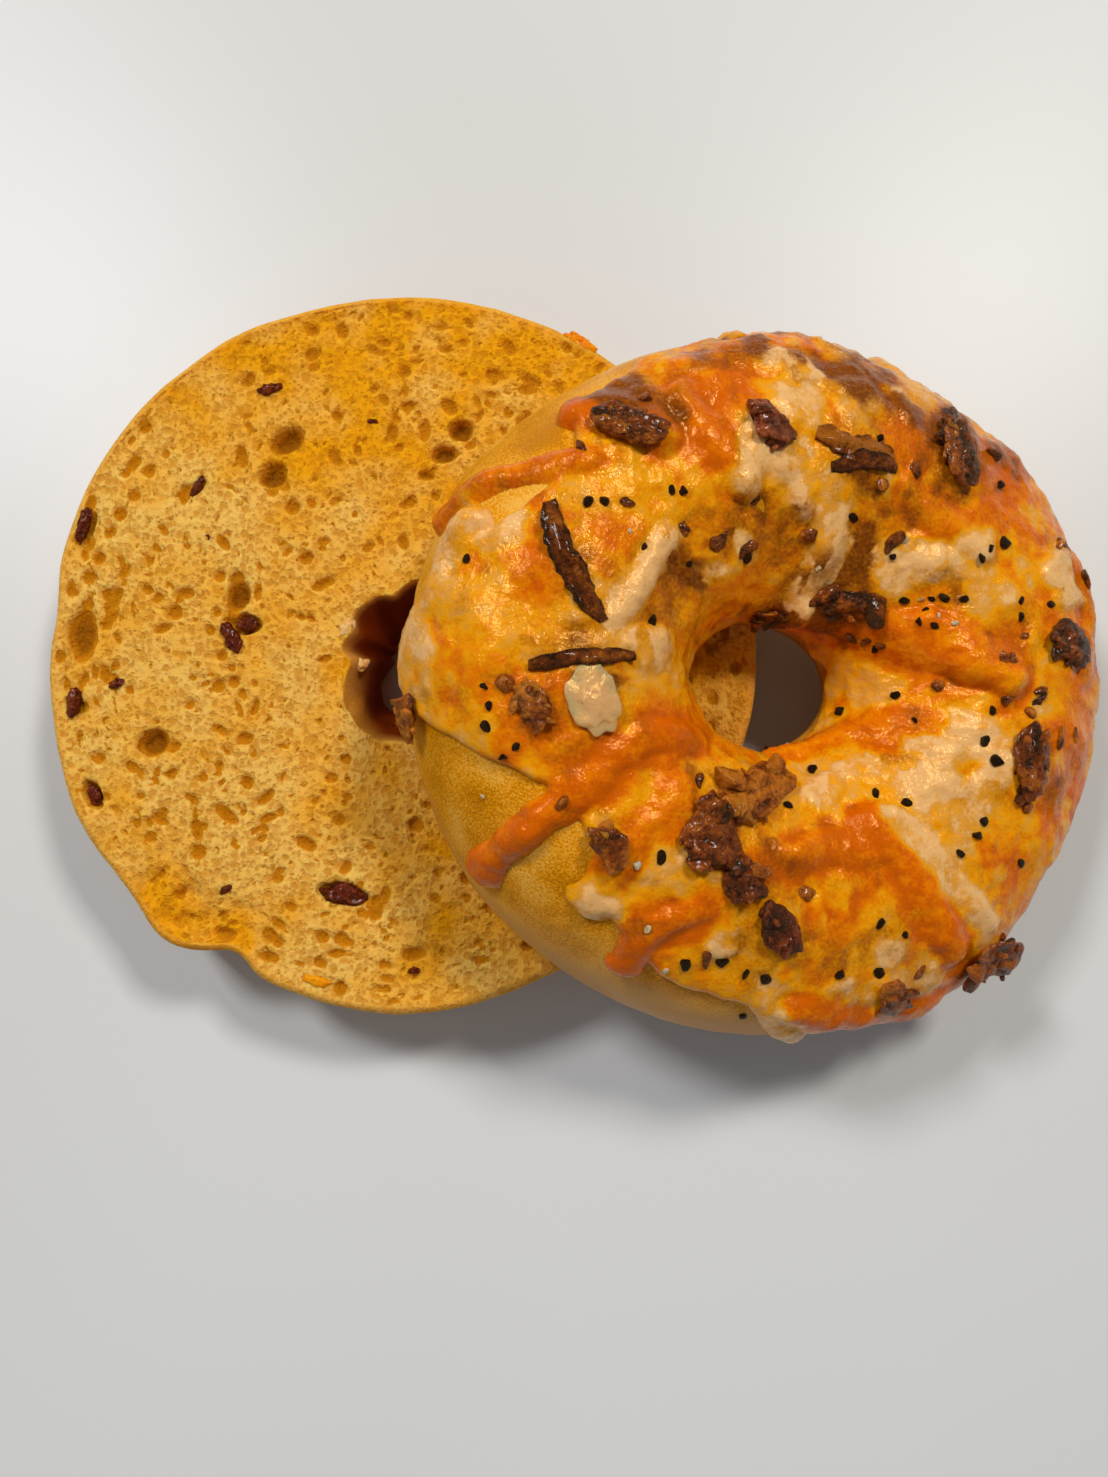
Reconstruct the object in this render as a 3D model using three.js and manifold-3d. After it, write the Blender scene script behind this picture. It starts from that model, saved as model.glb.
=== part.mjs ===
// A sliced savoury bagel baked with two cheeses, crisp bacon, onion and cracked pepper.
// The lower half lies cut face up; the topped upper half leans on its rim and on the table.
// Millimetres, +Z up, origin on the table under the middle of the whole.
//
// Places on the upper half are two angles in degrees, [around, over]: `around` turns about
// the hole from +X, `over` climbs from the outer cut edge (0) over the crown (90) and down
// the wall of the hole (180).

import * as THREE from 'three';
import { mergeVertices } from 'three/addons/utils/BufferGeometryUtils.js';
import Module from 'manifold-3d';

const wasm = await Module();
wasm.setup();

// ---------------------------------------------------------------- driving dimensions

const GAP = 0.35; // clearance between separate pieces
const PIECE_GAP = 0.5; // clearance under the crisp pieces
const RING_SEGMENTS = 48; // facets round a ring

const LOWER = {
  centre: [-27.6, 1.9], // ring centre on the table
  height: 18, // table to cut face
  radius: [56.6, 57.6], // outline along X and Y
  hole: { centre: [3.1, -3.4], radius: [13, 13] },
  holeNarrowing: 3.5, // how far the hole closes in below the cut
  baseRound: 9, // rounding of the lower edge
  rimRound: 2, // rolled edge of the crust at the cut
};

const UPPER = {
  centre: [29, -5.8], // ring centre over the table
  height: 20, // cut face to crown
  radius: [56, 53.2],
  hole: { centre: [-2.5, -0.3], radius: [13.3, 10] },
  sideRound: 0.91, // exponents of the crown's section, 1 is an ellipse
  crownRound: 0.85,
  lean: 17.6, // tilt of the cut face, degrees
  leanTo: -8, // direction it slopes down to, degrees from +X
};

// Bulges (+) and dents (-) of the outlines: [place, half width, height], degrees and mm.
const LOWER_BULGES = [
  [133, 22, 0.9],
  [176, 8, -1.3],
  [212, 12, 0.9],
  [232, 6, 2.0],
  [243, 4, -2.2],
  [272, 14, 0.8],
];
const LOWER_HOLE_BULGES = [
  [100, 16, -1.5],
  [170, 15, -1.4],
  [205, 13, -2.4],
  [250, 18, 1.3],
];
const UPPER_BULGES = [
  [35, 14, 0.9],
  [150, 10, 1.2],
  [236, 18, -0.8],
  [340, 12, -1.0],
];

// Large pores in the lower cut face: [place, distance from the ring centre, length, width].
const PORE_DEPTH = 2.4;
const PORES = [
  [120, 37.5, 6.2, 4.2],
  [128, 34, 5.2, 4.4],
  [165, 26.9, 5.6, 4.0],
  [203, 41.9, 4.6, 5.8],
  [75, 35.4, 4.4, 4.0],
  [78, 31, 4.6, 3.2],
  [179, 50.4, 9.5, 5.0],
  [258, 40.6, 8.6, 3.6],
  [174, 25, 3.6, 6.0],
];

// The melted cheese: a sheet with bare places, and the shreds that stand out of it.
const SHEET = { thickness: 1.1, edge: 46, holeEdge: 168 };
const SHEET_EDGE_BULGES = [
  [20, 30, -14],
  [80, 50, -26],
  [150, 16, 18],
  [182, 16, -30],
  [207, 17, 30],
  [285, 18, -10],
  [300, 13, -22],
];
const SHEET_HOLE_BULGES = [[200, 60, -12]];
const BARE = [
  [143, 83, 5.5],
  [214, 93, 4.5],
  [325, 84, 4.0],
];

// Shreds: width in mm and the places that each one runs through.
const SHREDS = [
  [4.6, [158, 10], [152, 36], [143, 63]],
  [5.2, [210, 21], [207, 54], [204, 80], [199, 102], [206, 128]],
  [4.8, [238, 78], [233, 60], [235, 42]],
  [4.4, [256, 158], [290, 160], [318, 156], [338, 136]],
  [5.6, [244, 96], [258, 104], [272, 106], [288, 104]],
  [6.2, [289, 112], [294, 98], [296, 80], [298, 60]],
  [8.0, [88, 152], [58, 152], [32, 138], [12, 116], [2, 98]],
  [6.0, [120, 64], [120, 80], [118, 95]],
  [5.0, [66, 93], [51, 95], [37, 92]],
  [5.2, [220, 70], [218, 87], [216, 103]],
  [6.8, [171, 28], [174, 55], [178, 76], [188, 92]],
  [4.6, [24, 43], [12, 51], [2, 63]],
  [6.2, [264, 50], [278, 40], [292, 33], [302, 40]],
  [6.0, [135, 42], [131, 58], [129, 72]],
  [5.0, [116, 50], [107, 51], [98, 55]],
  [4.8, [160, 44], [168, 31], [177, 16]],
  [4.4, [145, 99], [158, 101], [170, 96]],
  [4.8, [94, 99], [88, 112], [87, 127], [92, 144]],
  [4.2, [56, 116], [43, 112], [41, 94], [39, 75]],
  [4.6, [298, 112], [302, 96], [304, 80], [307, 60]],
  [4.6, [259, 52], [263, 42], [268, 31]],
];

// Soft lumps of white cheese: [around, over, width].
const LUMPS = [
  [96, 62, 9],
  [82, 72, 10],
  [176, 110, 8],
  [326, 116, 10],
  [223, 57, 7],
  [20, 68, 10],
];

// Patches of cracked pepper: [around, over, reach in degrees, flakes].
const PEPPER_SEED = 7;
const PEPPER_SIZE = 1.7;
const PEPPER = [
  [148, 78, 4, 2],
  [136, 90, 4, 2],
  [188, 55, 8, 4],
  [155, 106, 9, 3],
  [80, 100, 8, 2],
  [31, 119, 9, 7],
  [20, 84, 6, 2],
  [40, 90, 8, 4],
  [345, 128, 12, 3],
  [348, 101, 6, 2],
  [298, 124, 10, 3],
  [315, 88, 8, 4],
  [252, 62, 8, 4],
  [280, 68, 9, 3],
];

// Crisp pieces as large as berries: place, [length, width, height] and turn in degrees.
const PIECES = [
  { name: 'onion_strip_long', at: [161, 80], size: [17.2, 3.8, 2.4], turn: -46, bend: -1.4 },
  { name: 'onion_strip_thin', at: [180, 88], size: [14.4, 2.2, 2.0], turn: 7, bend: 0.4 },
  { name: 'onion_strip_north', at: [83, 91], size: [12.6, 5.4, 2.6], turn: 86, bend: -0.6 },
  { name: 'bacon_pink', at: [107, 83], size: [8.4, 6.6, 3.0], turn: 50 },
  { name: 'bacon_north_east', at: [58, 74], size: [10.0, 7.4, 3.4], turn: 40 },
  { name: 'bacon_north_west', at: [133, 64], size: [9.6, 6.4, 3.4], turn: 26 },
  { name: 'bacon_east', at: [9, 76], size: [9.6, 6.6, 3.6], turn: -28 },
  { name: 'bacon_south_east', at: [339, 88], size: [10.6, 6.0, 3.4], turn: -80 },
  { name: 'bacon_west_rim', at: [187, 18], size: [6.4, 6.0, 4.0], turn: 30 },
  { name: 'bacon_west', at: [188, 70], size: [7.8, 4.8, 2.8], turn: 110 },
  { name: 'bacon_south_west', at: [215, 75], size: [7.4, 4.6, 3.2], turn: 75 },
  { name: 'bacon_heap_left', at: [229, 97], size: [11.4, 9.6, 4.2], turn: 34 },
  { name: 'bacon_heap_right', at: [236, 121], size: [14.4, 8.8, 4.2], turn: -27 },
  { name: 'bacon_heap_low', at: [243, 91], size: [7.4, 6.2, 3.6], turn: 34 },
  { name: 'bacon_south', at: [256, 81], size: [8.2, 5.8, 3.4], turn: 60 },
  { name: 'bacon_south_rim', at: [284, 50], size: [7.8, 5.6, 3.2], turn: 10 },
  { name: 'bacon_overhang', at: [305, 44], size: [11.4, 9.8, 5.2], turn: 50 },
  { name: 'onion_hole_edge', at: [109, 157], size: [7.8, 4.4, 2.6], turn: 80 },
  { name: 'onion_pale', at: [188, 90], size: [9.4, 8.2, 2.0], turn: 100 },
  { name: 'bacon_hole_rim', at: [62, 140], size: [12.6, 4.6, 2.8], turn: 122 },
];

const COLOURS = {
  crumb: 0xc8892a,
  dough: 0xc6861a,
  cheese: 0xd9772a,
  bacon: 0x5c2412,
  onion: 0x7a3d12,
};

// ---------------------------------------------------------------- numbers and outlines

const radians = THREE.MathUtils.degToRad;

// A seeded draw between 0 and 1.
function makeRandom(seed) {
  let state = seed;
  return () => {
    state = (Math.imul(state, 1664525) + 1013904223) >>> 0;
    return state / 4294967296;
  };
}

// Sum of the bulges at one place of a ring, each a smooth hump.
function bulge(bulges, around) {
  let total = 0;
  for (const [place, halfWidth, height] of bulges) {
    const apart = THREE.MathUtils.euclideanModulo(around - place + 180, 360) - 180;
    total += height * Math.exp(-((apart / halfWidth) ** 2));
  }
  return total;
}

// Distance from the ring centre to an ellipse round it, in the direction `around`.
function outlineReach([radiusX, radiusY], around) {
  const c = Math.cos(radians(around)) / radiusX;
  const s = Math.sin(radians(around)) / radiusY;
  return 1 / Math.hypot(c, s);
}

// Distance from the ring centre to the edge of a hole whose own centre is beside it.
function holeReach({ centre, radius }, around) {
  const c = Math.cos(radians(around)) / radius[0];
  const s = Math.sin(radians(around)) / radius[1];
  const u = centre[0] / radius[0];
  const v = centre[1] / radius[1];
  const along = u * c + v * s;
  const square = c * c + s * s;
  return (along + Math.sqrt(along ** 2 - square * (u * u + v * v - 1))) / square;
}

// ---------------------------------------------------------------- solids

function toSolid(geometry) {
  const bare = geometry.clone();
  bare.deleteAttribute('normal');
  bare.deleteAttribute('uv');
  const merged = mergeVertices(bare, 1e-4);
  const triVerts = Uint32Array.from(merged.index.array);
  const vertProperties = Float32Array.from(merged.attributes.position.array);
  return new wasm.Manifold(new wasm.Mesh({ numProp: 3, vertProperties, triVerts }));
}

function toGeometry(solid) {
  const { vertProperties, triVerts } = solid.getMesh();
  const geometry = new THREE.BufferGeometry();
  geometry.setAttribute('position', new THREE.BufferAttribute(vertProperties, 3));
  geometry.setIndex(new THREE.BufferAttribute(triVerts, 1));
  geometry.computeVertexNormals();
  return geometry;
}

// The largest body of a solid, without the scraps that a cut leaves.
function mainBody(solid) {
  const bodies = solid.decompose();
  return bodies.reduce((best, body) => (body.volume() > best.volume() ? body : best));
}

// A ring whose closed section, a list of [radius, z], changes with the direction.
function ringSolid(sectionAt) {
  const profile = sectionAt(0).map(([radius, z]) => new THREE.Vector2(radius, z));
  profile.push(profile[0].clone());
  const geometry = new THREE.LatheGeometry(profile, RING_SEGMENTS);
  const position = geometry.attributes.position;
  for (let segment = 0; segment <= RING_SEGMENTS; segment++) {
    const around = (360 * (segment % RING_SEGMENTS)) / RING_SEGMENTS;
    const section = sectionAt(around);
    for (let i = 0; i < profile.length; i++) {
      const [radius, z] = section[i % section.length];
      const [x, y] = [radius * Math.cos(radians(around)), radius * Math.sin(radians(around))];
      position.setXYZ(segment * profile.length + i, x, y, z);
    }
  }
  return toSolid(geometry);
}

// Points of an elliptic arc in a section, in degrees from outward (0) to upward (90).
function arc(radius, z, halfWidth, halfHeight, from, to, steps) {
  const points = [];
  for (let i = 0; i <= steps; i++) {
    const angle = radians(from + ((to - from) * i) / steps);
    points.push([radius + halfWidth * Math.cos(angle), z + halfHeight * Math.sin(angle)]);
  }
  return points;
}

// ---------------------------------------------------------------- lower half

// Flat base, round lower edge, rolled rim, flat cut face and the wall of the hole.
function lowerSection(around) {
  const { height, baseRound, rimRound, holeNarrowing } = LOWER;
  const outer = outlineReach(LOWER.radius, around) + bulge(LOWER_BULGES, around);
  const inner = holeReach(LOWER.hole, around) + bulge(LOWER_HOLE_BULGES, around);
  const wall = inner - holeNarrowing + rimRound * 2;
  return [
    ...arc(outer - baseRound, baseRound, baseRound, baseRound, -90, 0, 5),
    ...arc(outer - rimRound, height - rimRound, rimRound * 0.8, rimRound, 20, 90, 2),
    ...arc(inner + rimRound, height - rimRound, rimRound, rimRound, 90, 170, 2),
    ...arc(wall, height * 0.4, rimRound * 2, height * 0.4, 180, 270, 3),
  ];
}

function poreCutter([place, distance, length, width]) {
  const geometry = new THREE.IcosahedronGeometry(1, 1);
  geometry.scale(width / 2, length / 2, PORE_DEPTH);
  geometry.rotateZ(radians(place));
  const [x, y] = [Math.cos(radians(place)) * distance, Math.sin(radians(place)) * distance];
  geometry.translate(x, y, LOWER.height);
  return toSolid(geometry);
}

function makeLowerHalf() {
  return PORES.reduce((bread, pore) => bread.subtract(poreCutter(pore)), ringSolid(lowerSection));
}

// ---------------------------------------------------------------- upper half

// [radius, z] on the crown at a place, or `lift` mm above it.
function crownPoint(around, over, lift = 0) {
  const outer = outlineReach(UPPER.radius, around) + bulge(UPPER_BULGES, around);
  const inner = holeReach(UPPER.hole, around);
  const c = Math.cos(radians(over));
  const s = Math.sin(radians(over));
  const reach = (outer - inner) / 2 + lift;
  const radius = (outer + inner) / 2 + reach * Math.sign(c) * Math.abs(c) ** UPPER.sideRound;
  return [radius, (UPPER.height + lift) * Math.max(s, 0) ** UPPER.crownRound];
}

function crownPosition([around, over], lift = 0) {
  const [radius, z] = crownPoint(around, over, lift);
  const turn = radians(around);
  return new THREE.Vector3(radius * Math.cos(turn), radius * Math.sin(turn), z);
}

// Frame on the crown: X along `over`, Y along `around`, Z outward, turned by `turn` degrees.
function crownFrame([around, over], lift, turn) {
  const origin = crownPosition([around, over], lift);
  const alongOver = crownPosition([around, over + 1]).sub(crownPosition([around, over - 1]));
  const alongRing = crownPosition([around + 1, over]).sub(crownPosition([around - 1, over]));
  const z = alongRing.clone().cross(alongOver).normalize();
  if (z.dot(crownPosition([around, over], 1).sub(crownPosition([around, over]))) < 0) z.negate();
  const x = alongOver.normalize().applyAxisAngle(z, radians(turn));
  const y = z.clone().cross(x);
  return new THREE.Matrix4().makeBasis(x, y, z).setPosition(origin);
}

// The crown over the flat cut face, grown by `lift`; a grown one reaches below the face.
function crownSolid(lift = 0, floor = 0) {
  const steps = 11;
  return ringSolid((around) => {
    const points = [];
    for (let i = 0; i <= steps; i++) {
      const [radius, z] = crownPoint(around, (180 * i) / steps, lift);
      points.push([radius, i % steps === 0 ? floor : z]);
    }
    return points;
  });
}

// ---------------------------------------------------------------- cheese

function sheetSolid(grow) {
  const steps = 7;
  const { thickness, edge, holeEdge } = SHEET;
  return ringSolid((around) => {
    const from = edge + bulge(SHEET_EDGE_BULGES, around) - grow * 2;
    const to = holeEdge + bulge(SHEET_HOLE_BULGES, around) + grow * 2;
    const top = [];
    for (let i = 0; i <= steps; i++) {
      const lift = i % steps === 0 ? 0.5 : 1;
      const over = from + ((to - from) * i) / steps;
      top.push(crownPoint(around, over, GAP + lift * thickness + grow));
    }
    const under = [to, (from + to) / 2, from].map((over) => crownPoint(around, over, -2));
    return [...top, ...under];
  });
}

// A round shred: a tube through its places, with a round end at both ends.
function shredSolid([width, ...places], grow) {
  const radius = width / 2 + grow;
  const depth = GAP - width * 0.12;
  const curve = new THREE.CatmullRomCurve3(places.map((place) => crownPosition(place, depth)));
  const shape = new THREE.Shape().absarc(0, 0, radius, 0, Math.PI * 2);
  const steps = Math.ceil(curve.getLength() / 7);
  const settings = { steps, curveSegments: 3, extrudePath: curve, bevelEnabled: false };
  let shred = toSolid(new THREE.ExtrudeGeometry(shape, settings));
  for (const end of [0, 1]) {
    const bulb = new THREE.IcosahedronGeometry(radius * 1.08, 0);
    bulb.translate(...curve.getPoint(end).toArray());
    shred = shred.add(toSolid(bulb));
  }
  return shred;
}

function lumpSolid([around, over, width], grow) {
  const geometry = new THREE.IcosahedronGeometry(1, 1);
  geometry.scale(width / 2 + grow, width / 2.6 + grow, width / 5 + grow);
  geometry.applyMatrix4(crownFrame([around, over], GAP, around * 3));
  return toSolid(geometry);
}

function bareCutter([around, over, width], grow) {
  const geometry = new THREE.IcosahedronGeometry(1, 1);
  geometry.scale(width - grow, width * 0.7 - grow, 5);
  geometry.applyMatrix4(crownFrame([around, over], 0, around));
  return toSolid(geometry);
}

// Sheet, shreds and lumps in one, `grow` mm fatter all over, still full under the crown.
function cheeseOverCrown(grow = 0) {
  let cheese = sheetSolid(grow);
  for (const place of BARE) cheese = cheese.subtract(bareCutter(place, grow));
  for (const shred of SHREDS) cheese = cheese.add(shredSolid(shred, grow));
  for (const lump of LUMPS) cheese = cheese.add(lumpSolid(lump, grow));
  return cheese;
}

// Height of the cheese over the crown at a place, felt with a thin pin.
function cheeseHeight(cheese, place) {
  for (let lift = 4.5; lift > 0.5; lift -= 0.5) {
    const probe = new THREE.OctahedronGeometry(0.2);
    probe.applyMatrix4(crownFrame(place, lift, 0));
    if (toSolid(probe).intersect(cheese).volume() > 0) return lift;
  }
  return GAP;
}

function pepperFlake(cheese, place, turn, grow) {
  const flake = new THREE.OctahedronGeometry(PEPPER_SIZE / 2 + grow);
  flake.scale(1, 0.8, 0.7);
  flake.applyMatrix4(crownFrame(place, cheeseHeight(cheese, place) + 0.2, turn));
  return toSolid(flake);
}

function pepperPlaces() {
  const random = makeRandom(PEPPER_SEED);
  const places = [];
  for (const [around, over, reach, flakes] of PEPPER) {
    for (let i = 0; i < flakes; i++) {
      const [a, b] = [random() * 2 - 1, random() * 2 - 1];
      places.push([around + a * reach, over + b * reach, random() * 180]);
    }
  }
  return places;
}

// ---------------------------------------------------------------- crisp pieces

// A crisp lump: a rough, flattened ball with a seeded surface.
function lumpPiece([length, width, height], seed, grow) {
  const random = makeRandom(seed);
  const geometry = mergeVertices(new THREE.IcosahedronGeometry(1, 1).deleteAttribute('normal')
    .deleteAttribute('uv'));
  const position = geometry.attributes.position;
  const point = new THREE.Vector3();
  for (let i = 0; i < position.count; i++) {
    point.fromBufferAttribute(position, i).multiplyScalar(0.82 + 0.36 * random());
    position.setXYZ(i, point.x, point.y, point.z);
  }
  geometry.scale(length / 2 + grow, width / 2 + grow, height / 2 + grow);
  return geometry;
}

// A crisp strip: a flat band that bows sideways by `bend`.
function stripPiece([length, width, height], bend, grow) {
  const ends = [-length / 2 - grow, 0, length / 2 + grow];
  const curve = new THREE.QuadraticBezierCurve3(
    new THREE.Vector3(ends[0], 0, -0.6),
    new THREE.Vector3(ends[1], bend * 2, 1.2),
    new THREE.Vector3(ends[2], 0, -0.6),
  );
  const radii = [height / 2 + grow, width / 2 + grow];
  const shape = new THREE.Shape().absellipse(0, 0, ...radii, 0, Math.PI * 2);
  return new THREE.ExtrudeGeometry(shape, {
    steps: 5,
    curveSegments: 3,
    extrudePath: curve,
    bevelEnabled: false,
  });
}

// One crisp piece on its place, `grow` mm fatter all over.
function pieceSolid({ at, size, turn, bend }, seed, grow = 0) {
  const isLump = bend === undefined;
  const geometry = isLump ? lumpPiece(size, seed, grow) : stripPiece(size, bend, grow);
  geometry.applyMatrix4(crownFrame(at, 1.6 + size[2] * 0.35, turn));
  return toSolid(geometry);
}

// ---------------------------------------------------------------- the bagel

function makeMesh(name, solid, color, roughness) {
  const material = new THREE.MeshStandardMaterial({ color, roughness, metalness: 0 });
  const mesh = new THREE.Mesh(toGeometry(solid), material);
  mesh.name = name;
  return mesh;
}

function makeUpperHalf() {
  const half = new THREE.Group();
  half.add(makeMesh('upper_half', crownSolid(), COLOURS.dough, 0.55));

  const melted = cheeseOverCrown();
  let cheese = melted;
  let grown = cheeseOverCrown(PIECE_GAP);
  for (const [around, over, turn] of pepperPlaces()) {
    cheese = cheese.add(pepperFlake(melted, [around, over], turn, 0));
    grown = grown.add(pepperFlake(melted, [around, over], turn, PIECE_GAP));
  }
  const filled = crownSolid(GAP, -3);
  cheese = mainBody(cheese.subtract(filled));
  half.add(makeMesh('cheese', cheese, COLOURS.cheese, 0.4));

  let taken = grown.add(crownSolid(PIECE_GAP, -3));
  PIECES.forEach((piece, index) => {
    const solid = mainBody(pieceSolid(piece, index + 1).subtract(taken));
    taken = taken.add(pieceSolid(piece, index + 1, PIECE_GAP));
    const color = piece.name.startsWith('onion') ? COLOURS.onion : COLOURS.bacon;
    half.add(makeMesh(piece.name, solid, color, 0.6));
  });

  const lean = radians(UPPER.lean);
  const leanTo = radians(UPPER.leanTo);
  const hinge = new THREE.Vector3(-Math.sin(leanTo), Math.cos(leanTo), 0);
  half.quaternion.setFromAxisAngle(hinge, lean);
  half.position.set(...UPPER.centre, UPPER.radius[0] * Math.sin(lean) + GAP);
  return half;
}

const bagel = new THREE.Group();
const lowerHalf = makeMesh('lower_half', makeLowerHalf(), COLOURS.crumb, 0.85);
lowerHalf.position.set(...LOWER.centre, 0);
bagel.add(lowerHalf, makeUpperHalf());

export default bagel;
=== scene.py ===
"""A sliced savoury bagel, baked with two cheeses, crisp bacon, onion and cracked pepper.

The lower half lies cut face up, and the topped upper half leans on its rim and on the table.
Sizes are in millimetres until a mesh is made of them, and angles are in degrees. A place on
the upper half is (around, over): `around` turns about the hole from +X, and `over` climbs
from the outer cut edge (0) over the crown (90) and down the wall of the hole (180).
"""

import logging
import math
from collections.abc import Callable
from dataclasses import dataclass, field
from enum import Enum
from functools import partial

import bmesh
import bpy
import numpy as np
from mathutils import Matrix, Vector, kdtree


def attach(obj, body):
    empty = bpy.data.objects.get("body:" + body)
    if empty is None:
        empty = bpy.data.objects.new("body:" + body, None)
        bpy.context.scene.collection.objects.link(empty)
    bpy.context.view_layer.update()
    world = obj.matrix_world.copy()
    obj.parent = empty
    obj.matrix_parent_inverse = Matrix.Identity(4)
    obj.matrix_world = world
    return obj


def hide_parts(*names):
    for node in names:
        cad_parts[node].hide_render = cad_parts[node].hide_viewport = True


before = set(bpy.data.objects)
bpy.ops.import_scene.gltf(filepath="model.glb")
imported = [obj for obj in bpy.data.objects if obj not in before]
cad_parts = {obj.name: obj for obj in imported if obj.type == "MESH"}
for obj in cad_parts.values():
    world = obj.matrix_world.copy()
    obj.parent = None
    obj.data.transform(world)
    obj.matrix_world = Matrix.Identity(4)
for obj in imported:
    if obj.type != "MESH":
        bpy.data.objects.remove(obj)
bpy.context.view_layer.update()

log = logging.getLogger("bagel")

MM = 0.001
GAP = 0.35  # clearance between separate pieces
SEAM = 1e-7  # how near the points of a seam lie before they are merged, in metres
FAR_BELOW = -9.0  # height of a shred or a lump where it isn't
SHARE, FIRST, SECOND, MIXED = 0, 6, 7, 2  # colour sockets of a Mix node, and what it gives
Place = tuple[float, float]


# ---------------------------------------------------------------- numbers


def soft_noise(points: np.ndarray, size: float, seed: int = 0) -> np.ndarray:
    """Gives smooth random heights between -1 and 1.

    Args:
        points: places in mm, one to a row.
        size: width of the bumps in mm.
        seed: picks the pattern.

    Returns:
        One height for each place.
    """
    table = np.random.default_rng(seed).uniform(-1, 1, (32, 32, 32))
    place = points / size
    base = np.floor(place).astype(int)
    part = place - base
    part = part * part * (3 - 2 * part)
    total = np.zeros(len(points))
    for corner in np.ndindex(2, 2, 2):
        weight = np.prod(np.where(corner, part, 1 - part), axis=1)
        total += weight * table[tuple(((base + corner) % 32).T)]
    return total


def rough_noise(points: np.ndarray, size: float, seed: int = 0, layers: int = 3) -> np.ndarray:
    """Adds up finer and finer layers of `soft_noise`.

    Args:
        points: places in mm, one to a row.
        size: width of the widest bumps in mm.
        seed: picks the pattern.
        layers: how many layers, each half as wide and high as the one before.

    Returns:
        One height for each place.
    """
    return sum(soft_noise(points, size / 2**i, seed + 7 * i) / 2**i for i in range(layers))


def step(value: np.ndarray, start: float, end: float) -> np.ndarray:
    """Rises smoothly from 0 at `start` to 1 at `end`."""
    part = np.clip((value - start) / (end - start), 0, 1)
    return part * part * (3 - 2 * part)


def blurred(heights: np.ndarray, reach: int) -> np.ndarray:
    """Averages heights over a square of a ring's grid, which is closed the first way.

    Args:
        heights: numbers by [place round the hole, place across the ring].
        reach: how many places to each side are averaged.

    Returns:
        The averages, laid out as the heights are.
    """
    width = 2 * reach + 1
    round_ring = sum(np.roll(heights, shift, axis=0) for shift in range(-reach, reach + 1)) / width
    padded = np.pad(round_ring, ((0, 0), (reach, reach)), "edge")
    return sum(padded[:, i : i + heights.shape[1]] for i in range(width)) / width


def bell(around: np.ndarray, middle: float, half_width: float) -> np.ndarray:
    """Gives 1 in the direction `middle`, and falls off smoothly to both sides of it."""
    apart = (around - middle + 180) % 360 - 180
    return np.exp(-((apart / half_width) ** 2))


def bulge(bulges: tuple, around: np.ndarray) -> np.ndarray:
    """Adds up the bulges of an outline.

    Args:
        bulges: (direction, half width, height) of each, in degrees and mm.
        around: directions in degrees.

    Returns:
        How far the outline stands out in each direction, in mm.
    """
    total = np.zeros_like(around, dtype=float)
    for middle, half_width, height in bulges:
        total += height * bell(around, middle, half_width)
    return total


def arc(
    radius: np.ndarray, z: float, half: tuple[float, float], span: tuple[float, float], steps: int
) -> tuple[np.ndarray, np.ndarray]:
    """Gives points of an elliptic arc in a ring's section, without its last point.

    Args:
        radius: distance of the arc's middle from the ring centre, in each direction.
        z: height of the arc's middle.
        half: half width and half height of the ellipse.
        span: first and last angle, from outward (0) to upward (90).
        steps: how many points.

    Returns:
        Radius and height, by [direction, point].
    """
    angle = np.radians(np.linspace(*span, steps, endpoint=False))
    middle = radius[:, None]
    return middle + half[0] * np.cos(angle), z + half[1] * np.sin(angle) + 0 * middle


@dataclass(frozen=True)
class RingPlan:
    """Outline and hole of one half of the bagel, seen from above its cut face."""

    centre: tuple[float, float]
    radius: tuple[float, float]
    hole_centre: tuple[float, float]
    hole_radius: tuple[float, float]
    bulges: tuple = ()
    hole_bulges: tuple = ()

    def outer(self, around: np.ndarray) -> np.ndarray:
        """Measures from the ring centre to the outline.

        Args:
            around: directions in degrees.

        Returns:
            The distance in each direction, in mm.
        """
        turn = np.radians(around)
        reach = 1 / np.hypot(np.cos(turn) / self.radius[0], np.sin(turn) / self.radius[1])
        return reach + bulge(self.bulges, around)

    def inner(self, around: np.ndarray) -> np.ndarray:
        """Measures from the ring centre to the hole's edge.

        Args:
            around: directions in degrees.

        Returns:
            The distance in each direction, in mm.
        """
        turn = np.radians(around)
        c, s = np.cos(turn) / self.hole_radius[0], np.sin(turn) / self.hole_radius[1]
        u = self.hole_centre[0] / self.hole_radius[0]
        v = self.hole_centre[1] / self.hole_radius[1]
        along, square = u * c + v * s, c * c + s * s
        reach = (along + np.sqrt(along**2 - square * (u * u + v * v - 1))) / square
        return reach + bulge(self.hole_bulges, around)


# ---------------------------------------------------------------- meshes


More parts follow.
